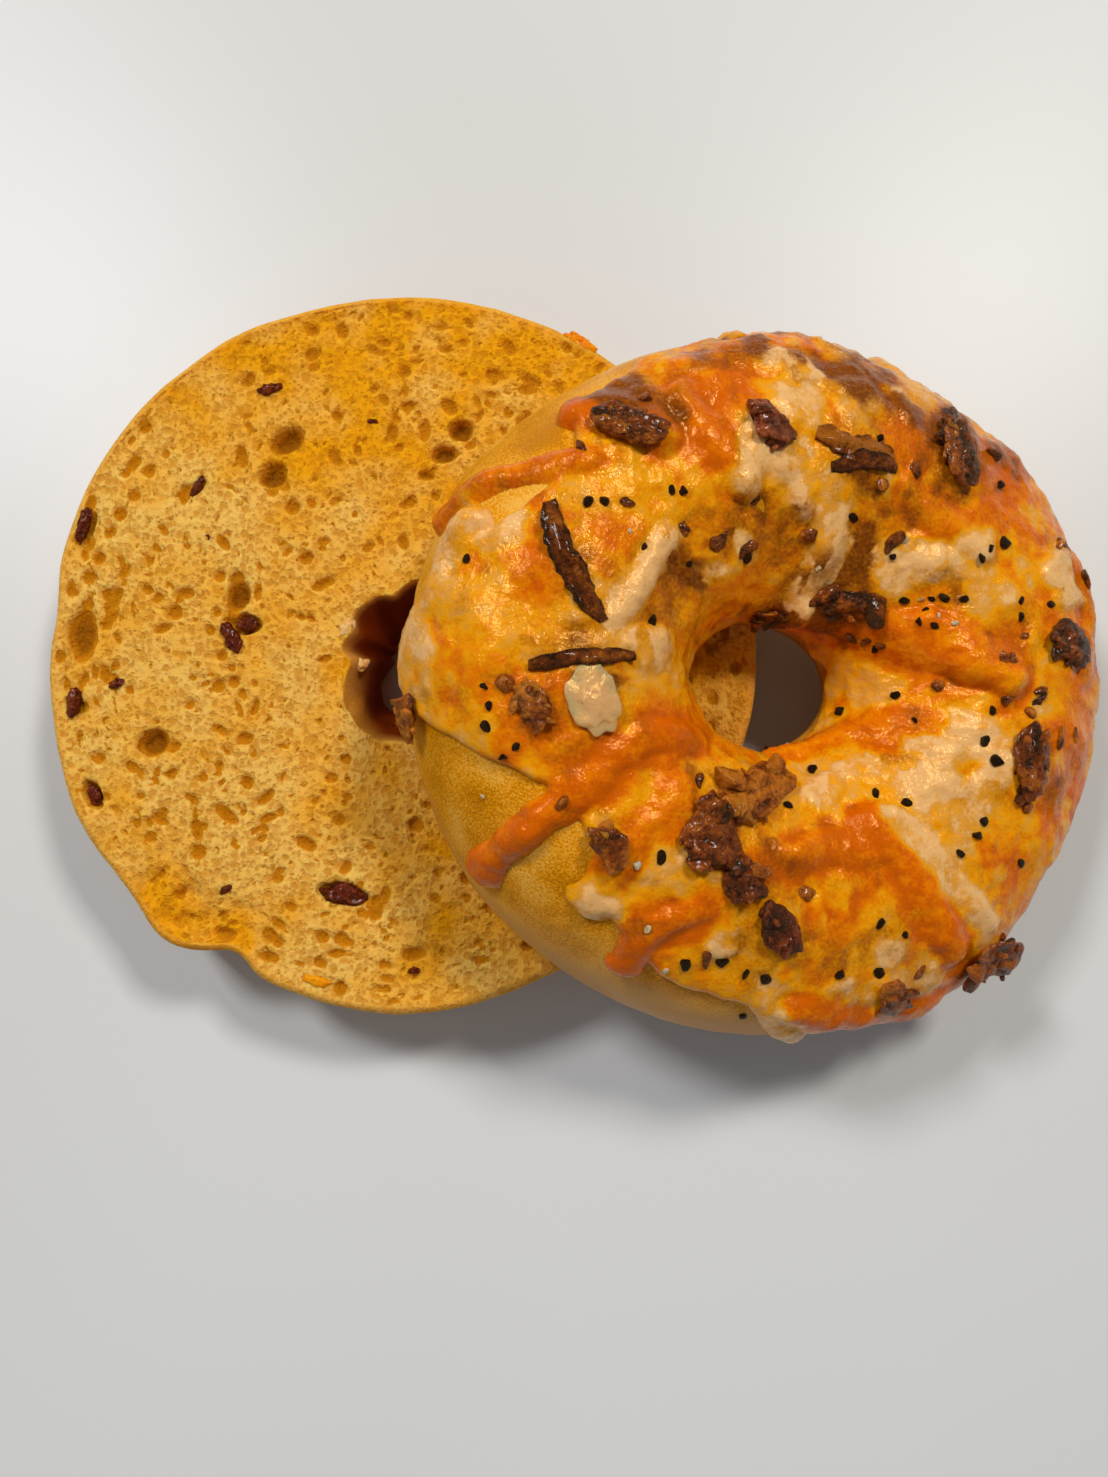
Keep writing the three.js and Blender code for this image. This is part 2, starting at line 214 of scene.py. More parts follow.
def ring_object(name: str, points: np.ndarray, values: dict[str, np.ndarray]) -> bpy.types.Object:
    """Makes a closed ring from a grid that is wrapped round the hole and round the section.

    Args:
        name: the piece's name.
        points: places in mm, by [place round the hole, place round the section, axis].
        values: numbers for an attribute of each name, laid out as the points are.

    Returns:
        The new object.
    """
    columns, rows = points.shape[:2]
    shape = bmesh.new()
    bmesh.ops.create_grid(shape, x_segments=columns, y_segments=rows, size=0.5)
    mesh = bpy.data.meshes.new(name)
    shape.to_mesh(mesh)
    flat = np.empty(len(mesh.vertices) * 3, np.float32)
    mesh.vertices.foreach_get("co", flat)
    flat = flat.reshape(-1, 3) + 0.5
    column = np.rint(flat[:, 0] * columns).astype(int) % columns
    row = np.rint(flat[:, 1] * rows).astype(int) % rows
    write_points(mesh, points[column, row])
    for key, numbers in values.items():
        write_value(mesh, key, numbers[column, row])
    shape.clear()
    shape.from_mesh(mesh)
    seam = [vert for vert in shape.verts if vert.is_boundary]
    bmesh.ops.remove_doubles(shape, verts=seam, dist=SEAM)
    bmesh.ops.recalc_face_normals(shape, faces=shape.faces)
    return finish_mesh(name, shape, mesh)


def finish_mesh(name: str, shape: bmesh.types.BMesh, mesh: bpy.types.Mesh) -> bpy.types.Object:
    """Writes a bmesh into a mesh with smooth faces, and links an object for it.

    Args:
        name: the object's name.
        shape: the finished bmesh, which is freed.
        mesh: the mesh that it is written into.

    Returns:
        The new object.
    """
    shape.to_mesh(mesh)
    shape.free()
    mesh.polygons.foreach_set("use_smooth", [True] * len(mesh.polygons))
    piece = bpy.data.objects.new(name, mesh)
    bpy.context.scene.collection.objects.link(piece)
    return piece


def read_points(mesh: bpy.types.Mesh) -> np.ndarray:
    """Reads a mesh's vertices.

    Args:
        mesh: the mesh.

    Returns:
        Their places in mm, one to a row.
    """
    flat = np.empty(len(mesh.vertices) * 3, np.float32)
    mesh.vertices.foreach_get("co", flat)
    return flat.reshape(-1, 3).astype(float) / MM


def write_points(mesh: bpy.types.Mesh, points: np.ndarray) -> None:
    """Moves a mesh's vertices to points given in mm."""
    mesh.vertices.foreach_set("co", (points * MM).astype(np.float32).ravel())


def write_value(mesh: bpy.types.Mesh, key: str, numbers: np.ndarray) -> None:
    """Keeps one number for each vertex in an attribute."""
    layer = mesh.attributes.get(key) or mesh.attributes.new(key, "FLOAT", "POINT")
    layer.data.foreach_set("value", numbers.astype(np.float32))


def joined(name: str, parts: list[bpy.types.Object]) -> bpy.types.Object:
    """Joins objects into the first of them, and names it.

    Args:
        name: the name of the whole.
        parts: the objects.

    Returns:
        The joined object.
    """
    with bpy.context.temp_override(
        active_object=parts[0], selected_editable_objects=parts, object=parts[0]
    ):
        bpy.ops.object.join()
    parts[0].name = parts[0].data.name = name
    return parts[0]


def place_on(piece: bpy.types.Object, matrix: np.ndarray) -> None:
    """Moves the vertices of a piece, so that its object stays at the origin.

    Args:
        piece: the object.
        matrix: the move, in mm.
    """
    write_points(piece.data, read_points(piece.data) @ matrix[:3, :3].T + matrix[:3, 3])
    piece.data.update()


def dress(
    piece: bpy.types.Object, material: bpy.types.Material, slot: str | None, *nodes: str
) -> bpy.types.Object:
    """Gives a piece its material, hangs it on the root body, and hides the CAD nodes that it
    replaces.

    Args:
        piece: the finished object.
        material: what it is made of.
        slot: the record's material slot, if it has one; not used.
        nodes: CAD nodes that the piece replaces.

    Returns:
        The piece.
    """
    piece.data.materials.clear()
    piece.data.materials.append(material)
    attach(piece, "root")
    if nodes:
        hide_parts(*nodes)
    log.info("%s: %d faces", piece.name, len(piece.data.polygons))
    return piece


# ---------------------------------------------------------------- finishes


def linear(colour: str) -> tuple[float, float, float, float]:
    """Turns an sRGB hex colour to linear RGBA."""
    parts = [int(colour[i : i + 2], 16) / 255 for i in (1, 3, 5)]
    return (*[c / 12.92 if c <= 0.04045 else ((c + 0.055) / 1.055) ** 2.4 for c in parts], 1.0)


def scale_of(width_mm: float) -> float:
    """Gives the scale of a pattern whose features are this wide."""
    return 1 / (width_mm * MM)


def add_node(
    tree: bpy.types.NodeTree, kind: str, settings: dict | None = None, links: dict | None = None
) -> bpy.types.Node:
    """Adds a node with its settings and links.

    Args:
        tree: the material's node tree.
        kind: the node's type, without "ShaderNode".
        settings: numbers for its inputs and properties; "stops" holds a ramp's colours.
        links: for an input, the (node, output) that it is linked to.

    Returns:
        The new node.
    """
    node = tree.nodes.new("ShaderNode" + kind)
    for key, value in (settings or {}).items():
        if key == "stops":
            elements = node.color_ramp.elements
            elements.remove(elements[1])
            elements[0].position, elements[0].color = value[0][0], linear(value[0][1])
            for place, colour in value[1:]:
                elements.new(place).color = linear(colour)
        elif isinstance(key, int) or key in node.inputs:
            node.inputs[key].default_value = value
        else:
            setattr(node, key, value)
    for key, (source, output) in (links or {}).items():
        tree.links.new(source.outputs[output], node.inputs[key])
    return node


@dataclass(frozen=True)
class Finish:
    """What every finish here has: a name, a body colour that light enters, and a gloss."""

    name: str
    roughness: float = 0.6
    subsurface: float = 0.3
    depth_mm: float = 1.5
    coat: float = 0.0
    gloss: float = 0.5
    glint: str = field(default="#ffc67a", kw_only=True)

    def start(self) -> tuple[bpy.types.Material, Callable, bpy.types.Node]:
        """Makes an empty material.

        Returns:
            The material, what adds a node to it, and its coordinate node.
        """
        material = bpy.data.materials.new(self.name)
        material.use_nodes = True
        material.node_tree.nodes.clear()
        add = partial(add_node, material.node_tree)
        return material, add, add("TexCoord")

    def surface(self, add: Callable, links: dict) -> None:
        """Adds the shader and the output.

        Args:
            add: what adds a node to the material.
            links: for an input of the shader, the (node, output) that it is linked to.
        """
        settings = {
            "Roughness": self.roughness,
            "Subsurface Weight": self.subsurface,
            "Subsurface Radius": (1.0, 0.6, 0.25),
            "Subsurface Scale": self.depth_mm * MM,
            "Coat Weight": self.coat,
            "Coat Roughness": 0.12,
            "Specular IOR Level": self.gloss,
            "Specular Tint": linear(self.glint),
        }
        shader = add("BsdfPrincipled", settings, links)
        add("OutputMaterial", links={"Surface": (shader, "BSDF")})


@dataclass(frozen=True)
class BreadFinish(Finish):
    """Baked wheat dough: open crumb where it is cut, and a thin smooth crust elsewhere."""

    wall: str = "#f8c560"
    wall_deep: str = "#f4a812"
    # Cell and pocket are painted shade: cells and shallow pores take the cell colour, deep pores
    # the darker pocket colour.
    cell_shade: str = "#d08410"
    pocket_shade: str = "#985a0a"
    crust_light: str = "#f8ba4c"
    crust_gold: str = "#ea9a06"
    crust_dark: str = "#c67c00"
    crust_pale: str = "#dc9e4e"
    # Dark red-brown of baked crust, which also paints shade on the hole walls and the base.
    crust_baked_and_shade: str = "#7a2c04"
    cells_mm: tuple = ((1.3, 0.25, 0.7), (0.65, 0.15, 0.6))  # width, closed share, darkness
    grain_mm: float = 0.34
    cloud_mm: float = 9.0909  # lighter and darker parts of the crumb and the crust
    wobble_mm: float = 1.4286  # how often the outline of a cell wavers, and how far
    wobble_reach_mm: float = 1.1
    dent_mm: float = 0.4
    skin_mm: float = 0.3

    def material(self) -> bpy.types.Material:
        """Builds the material from attributes for crumb, pores, paleness, dark crust and warmth;
        the pores and dark crust carry painted shade.
        """
        made, add, spot = self.start()
        crumb, pore, pale, baked, warm = (
            add("Attribute", {"attribute_name": key})
            for key in ("crumb", "pore", "pale", "baked", "warm")
        )
        wobble = add(
            "TexNoise", {"Scale": scale_of(self.wobble_mm), "Detail": 2.0},
            {"Vector": (spot, "Object")},
        )
        pushed = add(
            "VectorMath", {"operation": "MULTIPLY_ADD", 1: (self.wobble_reach_mm * MM,) * 3},
            {0: (wobble, "Color"), 2: (spot, "Object")},
        )
        fine = None
        for width_mm, closed, darkness in self.cells_mm:
            cells = add(
                "TexVoronoi", {"Scale": scale_of(width_mm)}, {"Vector": (pushed, "Vector")}
            )
            random = add("SeparateColor", links={"Color": (cells, "Color")})
            is_open = add(
                "MapRange", {"From Min": closed, "From Max": closed + 0.5, "To Max": darkness},
                {"Value": (random, "Red")},
            )
            bowl = add(
                "MapRange", {"From Min": 0.7, "From Max": 0.25, "interpolation_type": "SMOOTHSTEP"},
                {"Value": (cells, "Distance")},
            )
            layer = add(
                "Math", {"operation": "MULTIPLY"}, {0: (is_open, "Result"), 1: (bowl, "Result")}
            )
            both = {0: (layer, "Value"), 1: (fine or layer, "Value")}
            fine = add("Math", {"operation": "MAXIMUM"}, both)
        # Painted shade in the pores, darkest in the deep ones.
        shallow, deep = (
            add(
                "MapRange", {"From Min": low, "From Max": high, "interpolation_type": "SMOOTHSTEP"},
                {"Value": (pore, "Fac")},
            )
            for low, high in ((0.0, 0.4), (0.45, 1.0))
        )
        holes = add("Math", {"operation": "MAXIMUM"}, {0: (fine, "Value"), 1: (shallow, "Result")})
        cloud = add(
            "TexNoise", {"Scale": scale_of(self.cloud_mm), "Detail": 4.0},
            {"Vector": (spot, "Object")},
        )
        tone = add("Math", {"operation": "ADD"}, {0: (cloud, "Fac"), 1: (warm, "Fac")})
        wall = add(
            "ValToRGB", {"stops": [(0.34, self.wall), (0.74, self.wall_deep)]},
            {"Fac": (tone, "Value")},
        )
        cell_shade_colour = add(
            "Mix", {"data_type": "RGBA", SECOND: linear(self.cell_shade)},
            {SHARE: (holes, "Value"), FIRST: (wall, "Color")},
        )
        open_crumb = add(
            "Mix", {"data_type": "RGBA", SECOND: linear(self.pocket_shade)},
            {SHARE: (deep, "Result"), FIRST: (cell_shade_colour, MIXED)},
        )
        grain = add(
            "TexNoise", {"Scale": scale_of(self.grain_mm), "Detail": 3.0, "Roughness": 0.6},
            {"Vector": (spot, "Object")},
        )
        half_grain = add("Math", {"operation": "MULTIPLY", 1: 0.5}, {0: (grain, "Fac")})
        mottle = add(
            "Math", {"operation": "MULTIPLY_ADD", 1: 0.5},
            {0: (cloud, "Fac"), 2: (half_grain, "Value")},
        )
        gold = add(
            "ValToRGB",
            {"stops": [(0.4, self.crust_dark), (0.49, self.crust_gold), (0.6, self.crust_light)]},
            {"Fac": (mottle, "Value")},
        )
        sides = add(
            "Mix", {"data_type": "RGBA", SECOND: linear(self.crust_pale)},
            {SHARE: (pale, "Fac"), FIRST: (gold, "Color")},
        )
        # Baked crust, with painted shade on the hole walls and the base.
        crust = add(
            "Mix", {"data_type": "RGBA", SECOND: linear(self.crust_baked_and_shade)},
            {SHARE: (baked, "Fac"), FIRST: (sides, MIXED)},
        )
        colour = add(
            "Mix", {"data_type": "RGBA"},
            {SHARE: (crumb, "Fac"), FIRST: (crust, MIXED), SECOND: (open_crumb, MIXED)},
        )
        rough = add(
            "MapRange", {"To Min": self.roughness - 0.2, "To Max": 0.85}, {"Value": (crumb, "Fac")}
        )
        sunk = add("Math", {"operation": "MULTIPLY"}, {0: (fine, "Value"), 1: (crumb, "Fac")})
        dents = add(
            "Bump", {"Strength": 1.0, "Distance": self.dent_mm * MM, "invert": True},
            {"Height": (sunk, "Value")},
        )
        skin = add(
            "Bump", {"Strength": 0.9, "Distance": self.skin_mm * MM},
            {"Height": (grain, "Fac"), "Normal": (dents, "Normal")},
        )
        links = {"Base Color": (colour, MIXED), "Roughness": (rough, "Result")}
        links["Normal"] = (skin, "Normal")
        self.surface(add, links)
        return made


@dataclass(frozen=True)
class CheeseFinish(Finish):
    """Oven-melted white and orange cheese: waxy, wet with its own fat, toasted on its ridges."""

    cream: str = "#ecb976"
    butter: str = "#e29e3c"
    gold: str = "#f0a206"
    amber: str = "#ea8c02"
    orange: str = "#e47600"
    deep: str = "#d46200"
    toast: str = "#9c520a"
    char: str = "#662e06"
    cloud_mm: float = 1.9231  # swirls of the two cheeses
    speckle_mm: float = 0.5263  # drops of fat and toasted specks
    swell_mm: float = 0.4
    pit_mm: float = 0.2

    def material(self) -> bpy.types.Material:
        """Builds the material from the attributes tint and toast."""
        made, add, spot = self.start()
        tint, toast = (add("Attribute", {"attribute_name": key}) for key in ("tint", "toast"))
        cloud = add(
            "TexNoise", {"Scale": scale_of(self.cloud_mm), "Detail": 5.0, "Roughness": 0.6},
            {"Vector": (spot, "Object")},
        )
        drift = add(
            "MapRange", {"From Min": 0.38, "From Max": 0.62, "To Min": -0.11, "To Max": 0.11},
            {"Value": (cloud, "Fac")},
        )
        speckle = add(
            "TexNoise", {"Scale": scale_of(self.speckle_mm), "Detail": 2.0},
            {"Vector": (spot, "Object")},
        )
        dotted = add(
            "Math", {"operation": "MULTIPLY_ADD", 1: 0.36, 2: -0.18}, {0: (speckle, "Fac")}
        )
        shifted = add("Math", {"operation": "ADD"}, {0: (drift, "Result"), 1: (dotted, "Value")})
        mixed = add("Math", {"operation": "ADD"}, {0: (tint, "Fac"), 1: (shifted, "Value")})
        melts = [(0.08, self.cream), (0.3, self.butter), (0.48, self.gold)]
        melts += [(0.66, self.amber), (0.84, self.orange), (1.0, self.deep)]
        body = add("ValToRGB", {"stops": melts}, {"Fac": (mixed, "Value")})
        browned = add(
            "Math", {"operation": "MULTIPLY_ADD", 1: 0.5, 2: -0.25}, {0: (speckle, "Fac")}
        )
        crisp = add(
            "Math", {"operation": "ADD", "use_clamp": True},
            {0: (toast, "Fac"), 1: (browned, "Value")},
        )
        brown = add(
            "ValToRGB", {"stops": [(0.3, self.toast), (1.0, self.char)]}, {"Fac": (crisp, "Value")}
        )
        cover = add(
            "MapRange", {"From Min": 0.05, "From Max": 0.85, "interpolation_type": "SMOOTHSTEP"},
            {"Value": (crisp, "Value")},
        )
        colour = add(
            "Mix", {"data_type": "RGBA"},
            {SHARE: (cover, "Result"), FIRST: (body, "Color"), SECOND: (brown, "Color")},
        )
        wet = add(
            "MapRange", {"From Min": 0.35, "From Max": 0.65, "To Min": 0.12, "To Max": 0.3},
            {"Value": (cloud, "Fac")},
        )
        soft = add(
            "Bump", {"Strength": 0.35, "Distance": self.swell_mm * MM}, {"Height": (cloud, "Fac")}
        )
        pitted = add(
            "Bump", {"Strength": 0.5, "Distance": self.pit_mm * MM},
            {"Height": (speckle, "Fac"), "Normal": (soft, "Normal")},
        )
        links = {"Base Color": (colour, MIXED), "Roughness": (wet, "Result")}
        links["Normal"] = (pitted, "Normal")
        self.surface(add, links)
        return made


@dataclass(frozen=True)
class CrispFinish(Finish):
    """A fried, browned scrap: dark where it is charred, lighter where fat or fibre shows."""

    dark: str = "#2c0c04"
    middle: str = "#8e3e06"
    light: str = "#d07a1a"
    grain_mm: float = 0.7
    fibre_mm: float = 0.3448
    grain_depth_mm: float = 0.9
    fibre_depth_mm: float = 0.2

    def material(self) -> bpy.types.Material:
        """Builds the material from the attribute shade, which is 0 dark to 1 light."""
        made, add, spot = self.start()
        shade = add("Attribute", {"attribute_name": "shade"})
        grain = add(
            "TexNoise", {"Scale": scale_of(self.grain_mm), "Detail": 6.0, "Roughness": 0.72},
            {"Vector": (spot, "Object")},
        )
        spread = add("Math", {"operation": "MULTIPLY_ADD", 1: 1.7, 2: -0.85}, {0: (grain, "Fac")})
        mixed = add("Math", {"operation": "ADD"}, {0: (shade, "Fac"), 1: (spread, "Value")})
        body = add(
            "ValToRGB", {"stops": [(0.12, self.dark), (0.5, self.middle), (0.9, self.light)]},
            {"Fac": (mixed, "Value")},
        )
        span = {"To Min": self.roughness - 0.25, "To Max": self.roughness + 0.2}
        rough = add(
            "MapRange", {"From Min": 0.3, "From Max": 0.7, **span}, {"Value": (grain, "Fac")}
        )
        relief = add(
            "Bump", {"Strength": 1.0, "Distance": self.grain_depth_mm * MM},
            {"Height": (grain, "Fac")},
        )
        fibre = add(
            "TexNoise", {"Scale": scale_of(self.fibre_mm), "Detail": 1.0},
            {"Vector": (spot, "Object")},
        )
        glints = add(
            "Bump", {"Strength": 0.7, "Distance": self.fibre_depth_mm * MM},
            {"Height": (fibre, "Fac"), "Normal": (relief, "Normal")},
        )
        links = {"Base Color": (body, "Color"), "Roughness": (rough, "Result")}
        links["Normal"] = (glints, "Normal")
        self.surface(add, links)
        return made


@dataclass(frozen=True)
class TableFinish(Finish):
    """Satin pale laminate: almost white, with a very fine stipple that softens its shine."""

    near: str = "#d2d1cc"
    far: str = "#dddedd"
    cloud_mm: float = 333.33
    stipple_mm: float = 1.1111  # coarser than the real one, so that it shows at all
    stipple_depth_mm: float = 0.1

    def material(self) -> bpy.types.Material:
        """Builds the material."""
        made, add, spot = self.start()
        cloud = add(
            "TexNoise", {"Scale": scale_of(self.cloud_mm), "Detail": 2.0},
            {"Vector": (spot, "Object")},
        )
        colour = add(
            "ValToRGB", {"stops": [(0.35, self.near), (0.65, self.far)]}, {"Fac": (cloud, "Fac")}
        )
        stipple = add(
            "TexNoise", {"Scale": scale_of(self.stipple_mm)}, {"Vector": (spot, "Object")}
        )
        bump = add(
            "Bump", {"Strength": 0.08, "Distance": self.stipple_depth_mm * MM},
            {"Height": (stipple, "Fac")},
        )
        self.surface(add, {"Base Color": (colour, "Color"), "Normal": (bump, "Normal")})
        return made


# ---------------------------------------------------------------- crumb


@dataclass(frozen=True)
class Crumb:
    """The pores of a cut face: large ones at known places, and seeded ones between them."""

    plan: RingPlan
    seed: int
    count: int
    pores: tuple = ()  # (around, distance, length round the ring, width, depth)
    smallest: float = 0.6
    spread: float = 2.2

    def all_pores(self) -> list[tuple[float, float, float, float, float, float]]:
        """Lists every pore.

        Returns:
            For each, x, y, half length, half width, turn in radians, and depth.
        """
        random = np.random.default_rng(self.seed)
        found = []
        for around, distance, length, width, depth in self.pores:
            turn = math.radians(around)
            x, y = distance * math.cos(turn), distance * math.sin(turn)
            found.append((x, y, length / 2, width / 2, turn + math.pi / 2, depth))
        for _ in range(self.count):
            around = random.uniform(0, 360)
            inner, outer = (f(np.array([around]))[0] for f in (self.plan.inner, self.plan.outer))
            share = random.uniform(0, 1) ** 0.5
            low = inner / outer
            distance = (outer - 1.6) * (low + (1 - low) * share) * 0.995 + 0.3
            turn = math.radians(around)
            size = self.smallest + self.spread * random.uniform(0, 1) ** 5
            stretch = 1 + 1.1 * random.uniform(0, 1) ** 2
            lie = turn + math.pi / 2 + random.normal(0, 0.5 if distance > 0.75 * outer else 1.4)
            x, y = distance * math.cos(turn), distance * math.sin(turn)
            depth = 0.2 + 0.32 * size
            found.append((x, y, size * stretch / 2, size / 2 / stretch**0.3, lie, depth))
        return found

    def press(self, points: np.ndarray) -> tuple[np.ndarray, np.ndarray]:
        """Works out how deep the pores press into a face.

        Args:
            points: places on the face in mm, measured from the ring centre.

        Returns:
            Depth in mm, and painted shade from 0 to 1, which grows the further a point is inside a
            pore and the deeper that pore is.
        """
        tree = kdtree.KDTree(len(points))
        for index, point in enumerate(points):
            tree.insert((point[0], point[1], 0), index)
        tree.balance()
        ragged = np.stack([soft_noise(points, 1.3, 3), soft_noise(points, 1.3, 4)], 1) * 0.22
        depth, inside = np.zeros(len(points)), np.zeros(len(points))
        for x, y, long, short, turn, deep in self.all_pores():
            near = [i for _, i, _ in tree.find_range((x, y, 0), long + short + 0.4)]
            if not near:
                continue
            local = points[near, :2] + ragged[near] - (x, y)
            c, s = math.cos(turn), math.sin(turn)
            u = (local[:, 0] * c + local[:, 1] * s) / long
            v = (local[:, 1] * c - local[:, 0] * s) / short
            bowl = np.clip(1 - u * u - v * v, 0, 1)
            depth[near] = np.maximum(depth[near], deep * bowl**0.55)
            # Painted shade: darker further inside a pore, and darker in deeper pores.
            colour = np.clip(bowl * 1.3, 0, 1) * (0.3 + 0.7 * min(deep / 2.2, 1))
            inside[near] = np.maximum(inside[near], colour)
        return depth, inside


# ---------------------------------------------------------------- lower half

LOWER_PLAN = RingPlan(
    centre=(-27.6, 1.9),
    radius=(56.6, 57.6),
    hole_centre=(3.1, -3.4),
    hole_radius=(13.0, 13.0),
    bulges=(
        (133, 22, 0.9),
        (176, 8, -1.3),
        (212, 12, 0.9),
        (232, 6, 2.0),
        (243, 4, -2.2),
        (272, 14, 0.8),
    ),
    hole_bulges=((100, 16, -1.5), (170, 15, -1.4), (205, 13, -2.4), (250, 18, 1.3)),
)


@dataclass
class LowerHalf:
    """The plain half, cut face up: crumb, rolled rim, crust, and dark bits in its pockets."""

    bread: bpy.types.Material
    bits: bpy.types.Material
    cheese: bpy.types.Material
    plan: RingPlan = LOWER_PLAN
    height: float = 18.0
    base_round: float = 9.0
    rim_round: float = 2.0
    narrowing: float = 5.5  # how far the hole closes in below the cut
    columns: int = 620
    pores: tuple = (
        (120, 37.5, 6.2, 4.2, 2.4),
        (128, 34, 5.2, 4.4, 2.4),
        (165, 26.9, 5.6, 4.0, 2.4),
        (203, 41.9, 4.6, 5.8, 2.4),
        (75, 35.4, 4.4, 4.0, 2.4),
        (78, 31, 4.6, 3.2, 2.2),
        (179, 50.4, 9.5, 5.0, 1.9),
        (258, 40.6, 8.6, 3.6, 2.4),
        (174, 25, 3.6, 6.0, 2.2),
        (207, 53.6, 5.6, 2.8, 2.4),
        (82, 27, 2.8, 2.2, 1.4),
        (160, 53.6, 6.4, 2.4, 1.3),
        (143, 41.3, 4.2, 1.8, 1.2),
        (191, 52.0, 4.8, 2.4, 1.4),
    )
    dense: tuple = ((-43, -6, 3.4), (-52, -22, 4.5), (-50, -28, 4.0), (-57, 20, 5.0))  # x, y, size
    # Dark, glossy bits: around, distance, length, width, turn, height over the cut face.
    dark_bits: tuple = (
        (118, 46.6, 4.2, 1.7, 10, 0.0),
        (160, 54.0, 5.6, 1.7, 78, 0.0),
        (143, 41.3, 3.8, 1.3, 60, 0.0),
        (180, 26.6, 5.2, 2.2, -62, 0.2),
        (174, 24.2, 3.2, 2.2, 20, -0.1),
        (191, 52.1, 4.4, 2.0, 84, 0.1),
        (189, 45.0, 2.2, 1.4, 30, 0.1),
        (258, 40.6, 7.4, 2.8, -6, -0.9),
        (207, 53.6, 3.2, 1.6, 110, -1.2),
        (273, 51.4, 1.6, 1.0, 0, 0.1),
        (98, 36.0, 1.6, 0.9, 0, 0.0),
        (152, 35.0, 1.4, 1.0, 40, 0.0),
        (236, 47.0, 2.2, 1.0, 30, 0.1),
    )

    # Cheese that stuck to it: around, distance, length, width, turn, height, tint.
    cheese_bits: tuple = (
        (60, 56.6, 5.0, 1.8, -30, -0.9, 0.72),
        (166, 8.9, 3.6, 2.2, 70, -0.6, 0.1),
        (206, 7.9, 3.0, 2.0, 10, -3.4, 0.12),
        (257, 54.2, 4.8, 1.8, -12, -0.6, 0.55),
    )

    def section(self, around: np.ndarray) -> tuple[np.ndarray, np.ndarray, np.ndarray]:
        """Gives the section in each direction, from the table round the rim to the hole.

        Args:
            around: directions in degrees.

        Returns:
            Radius, height and share of cut crumb, by [direction, point].
        """
        outer, inner = self.plan.outer(around), self.plan.inner(around)
        top, rim, base = self.height, self.rim_round, self.base_round
        low_hole = 0.4 * top
        wall = inner - self.narrowing
        lip = 0.8
        rim_end = math.radians(20)
        side_reach = outer - rim + 0.8 * rim * math.cos(rim_end)
        side_top = (side_reach, top - rim + rim * math.sin(rim_end))
        wall_end = math.radians(170)
        wall_top = (inner + lip + lip * math.cos(wall_end), top - lip + lip * math.sin(wall_end))

        def straight(start: tuple, end: tuple, steps: int) -> tuple[np.ndarray, np.ndarray]:
            """Gives points on a straight line of the section, without its last point.

            Args:
                start: radius and height where it starts.
                end: radius and height where it ends.
                steps: how many points.

            Returns:
                Radius and height, by [direction, point].
            """
            share = np.linspace(0, 1, steps, endpoint=False)
            ends = zip(start, end)
            wide = ([np.broadcast_to(x, around.shape)[:, None] for x in pair] for pair in ends)
            return tuple(a + (b - a) * share for a, b in wide)

        # Each run is its points and its share of cut crumb.
        runs = [
            (arc(outer - base, base, (base, base), (-90, 0), 12), 0),
            (straight((outer, base), side_top, 7), 0),
            (arc(outer - rim, top - rim, (0.8 * rim, rim), (20, 90), 6), 0.6),
            (straight((outer - rim, top), (inner + lip, top), 102), 1),
            (arc(inner + lip, top - lip, (lip, lip), (90, 170), 3), 1),
            (straight(wall_top, (wall, low_hole), 9), 0),
            (arc(wall + 2 * rim, low_hole, (2 * rim, low_hole), (180, 270), 6), 0),
            (straight((wall + 2 * rim, 0.0), (outer - base, 0.0), 12), 0),
        ]
        radius = np.concatenate([run[0][0] for run in runs], axis=1)
        z = np.concatenate([run[0][1] for run in runs], axis=1)
        crumb = np.concatenate([np.full(run[0][0].shape, float(run[1])) for run in runs], axis=1)
        return radius, z, crumb

    def build_bread(self) -> bpy.types.Object:
        """Builds the bread, its pores pressed in and its torn corner sunk.

        Returns:
            The dressed piece.
        """
        around = np.linspace(0, 360, self.columns, endpoint=False)
        radius, z, crumb = self.section(around)
        turn = np.radians(around)[:, None]
        flat = np.stack([radius * np.cos(turn), radius * np.sin(turn), z], -1)
        points = flat.reshape(-1, 3).copy()
        mask = crumb.reshape(-1)
        face = (mask > 0.99) & (points[:, 2] > self.height - 0.01)
        cut = Crumb(self.plan, seed=11, count=1900, pores=self.pores)
        depth, inside = np.zeros(len(points)), np.zeros(len(points))
        depth[face], inside[face] = cut.press(points[face])
        places = np.degrees(np.arctan2(points[:, 1], points[:, 0])) % 360
        reach = np.hypot(points[:, 0], points[:, 1])
        outer = self.plan.outer(places)
        ragged = soft_noise(points, 3, 21) * 1.6
        torn = step(-np.abs(places - 234) + ragged, -13, -8) * step(reach + ragged, 47, 51)
        fibre = rough_noise(points, 2.2, 31)
        sink = depth + torn * (1.1 + 0.9 * fibre) + 0.22 * np.abs(soft_noise(points, 1.1, 41))
        sink += 0.25 * (1 + soft_noise(points, 17, 51))
        near_rim = np.clip((outer - reach - 2.0) / 2.5, 0, 1)
        points[:, 2] -= np.where(face, sink * np.clip(0.35 + near_rim, 0, 1), 0)
        skin = 0.28 * soft_noise(points, 9, 61) + 0.1 * soft_noise(points, 3, 62)
        outward = points[:, :2] / np.maximum(reach, 1)[:, None]
        side = (~face) & (points[:, 2] > 0.4)
        well = step(-reach, -22, -18)
        skin += well * (0.5 * rough_noise(points, 3.4, 63, 2) - 0.1)
        points[:, :2] += outward * (skin * side)[:, None]
        points[:, :2] += self.plan.centre
        warm = 0.26 * step(points[:, 0] + 0.4 * points[:, 1], -66, -10) - 0.1
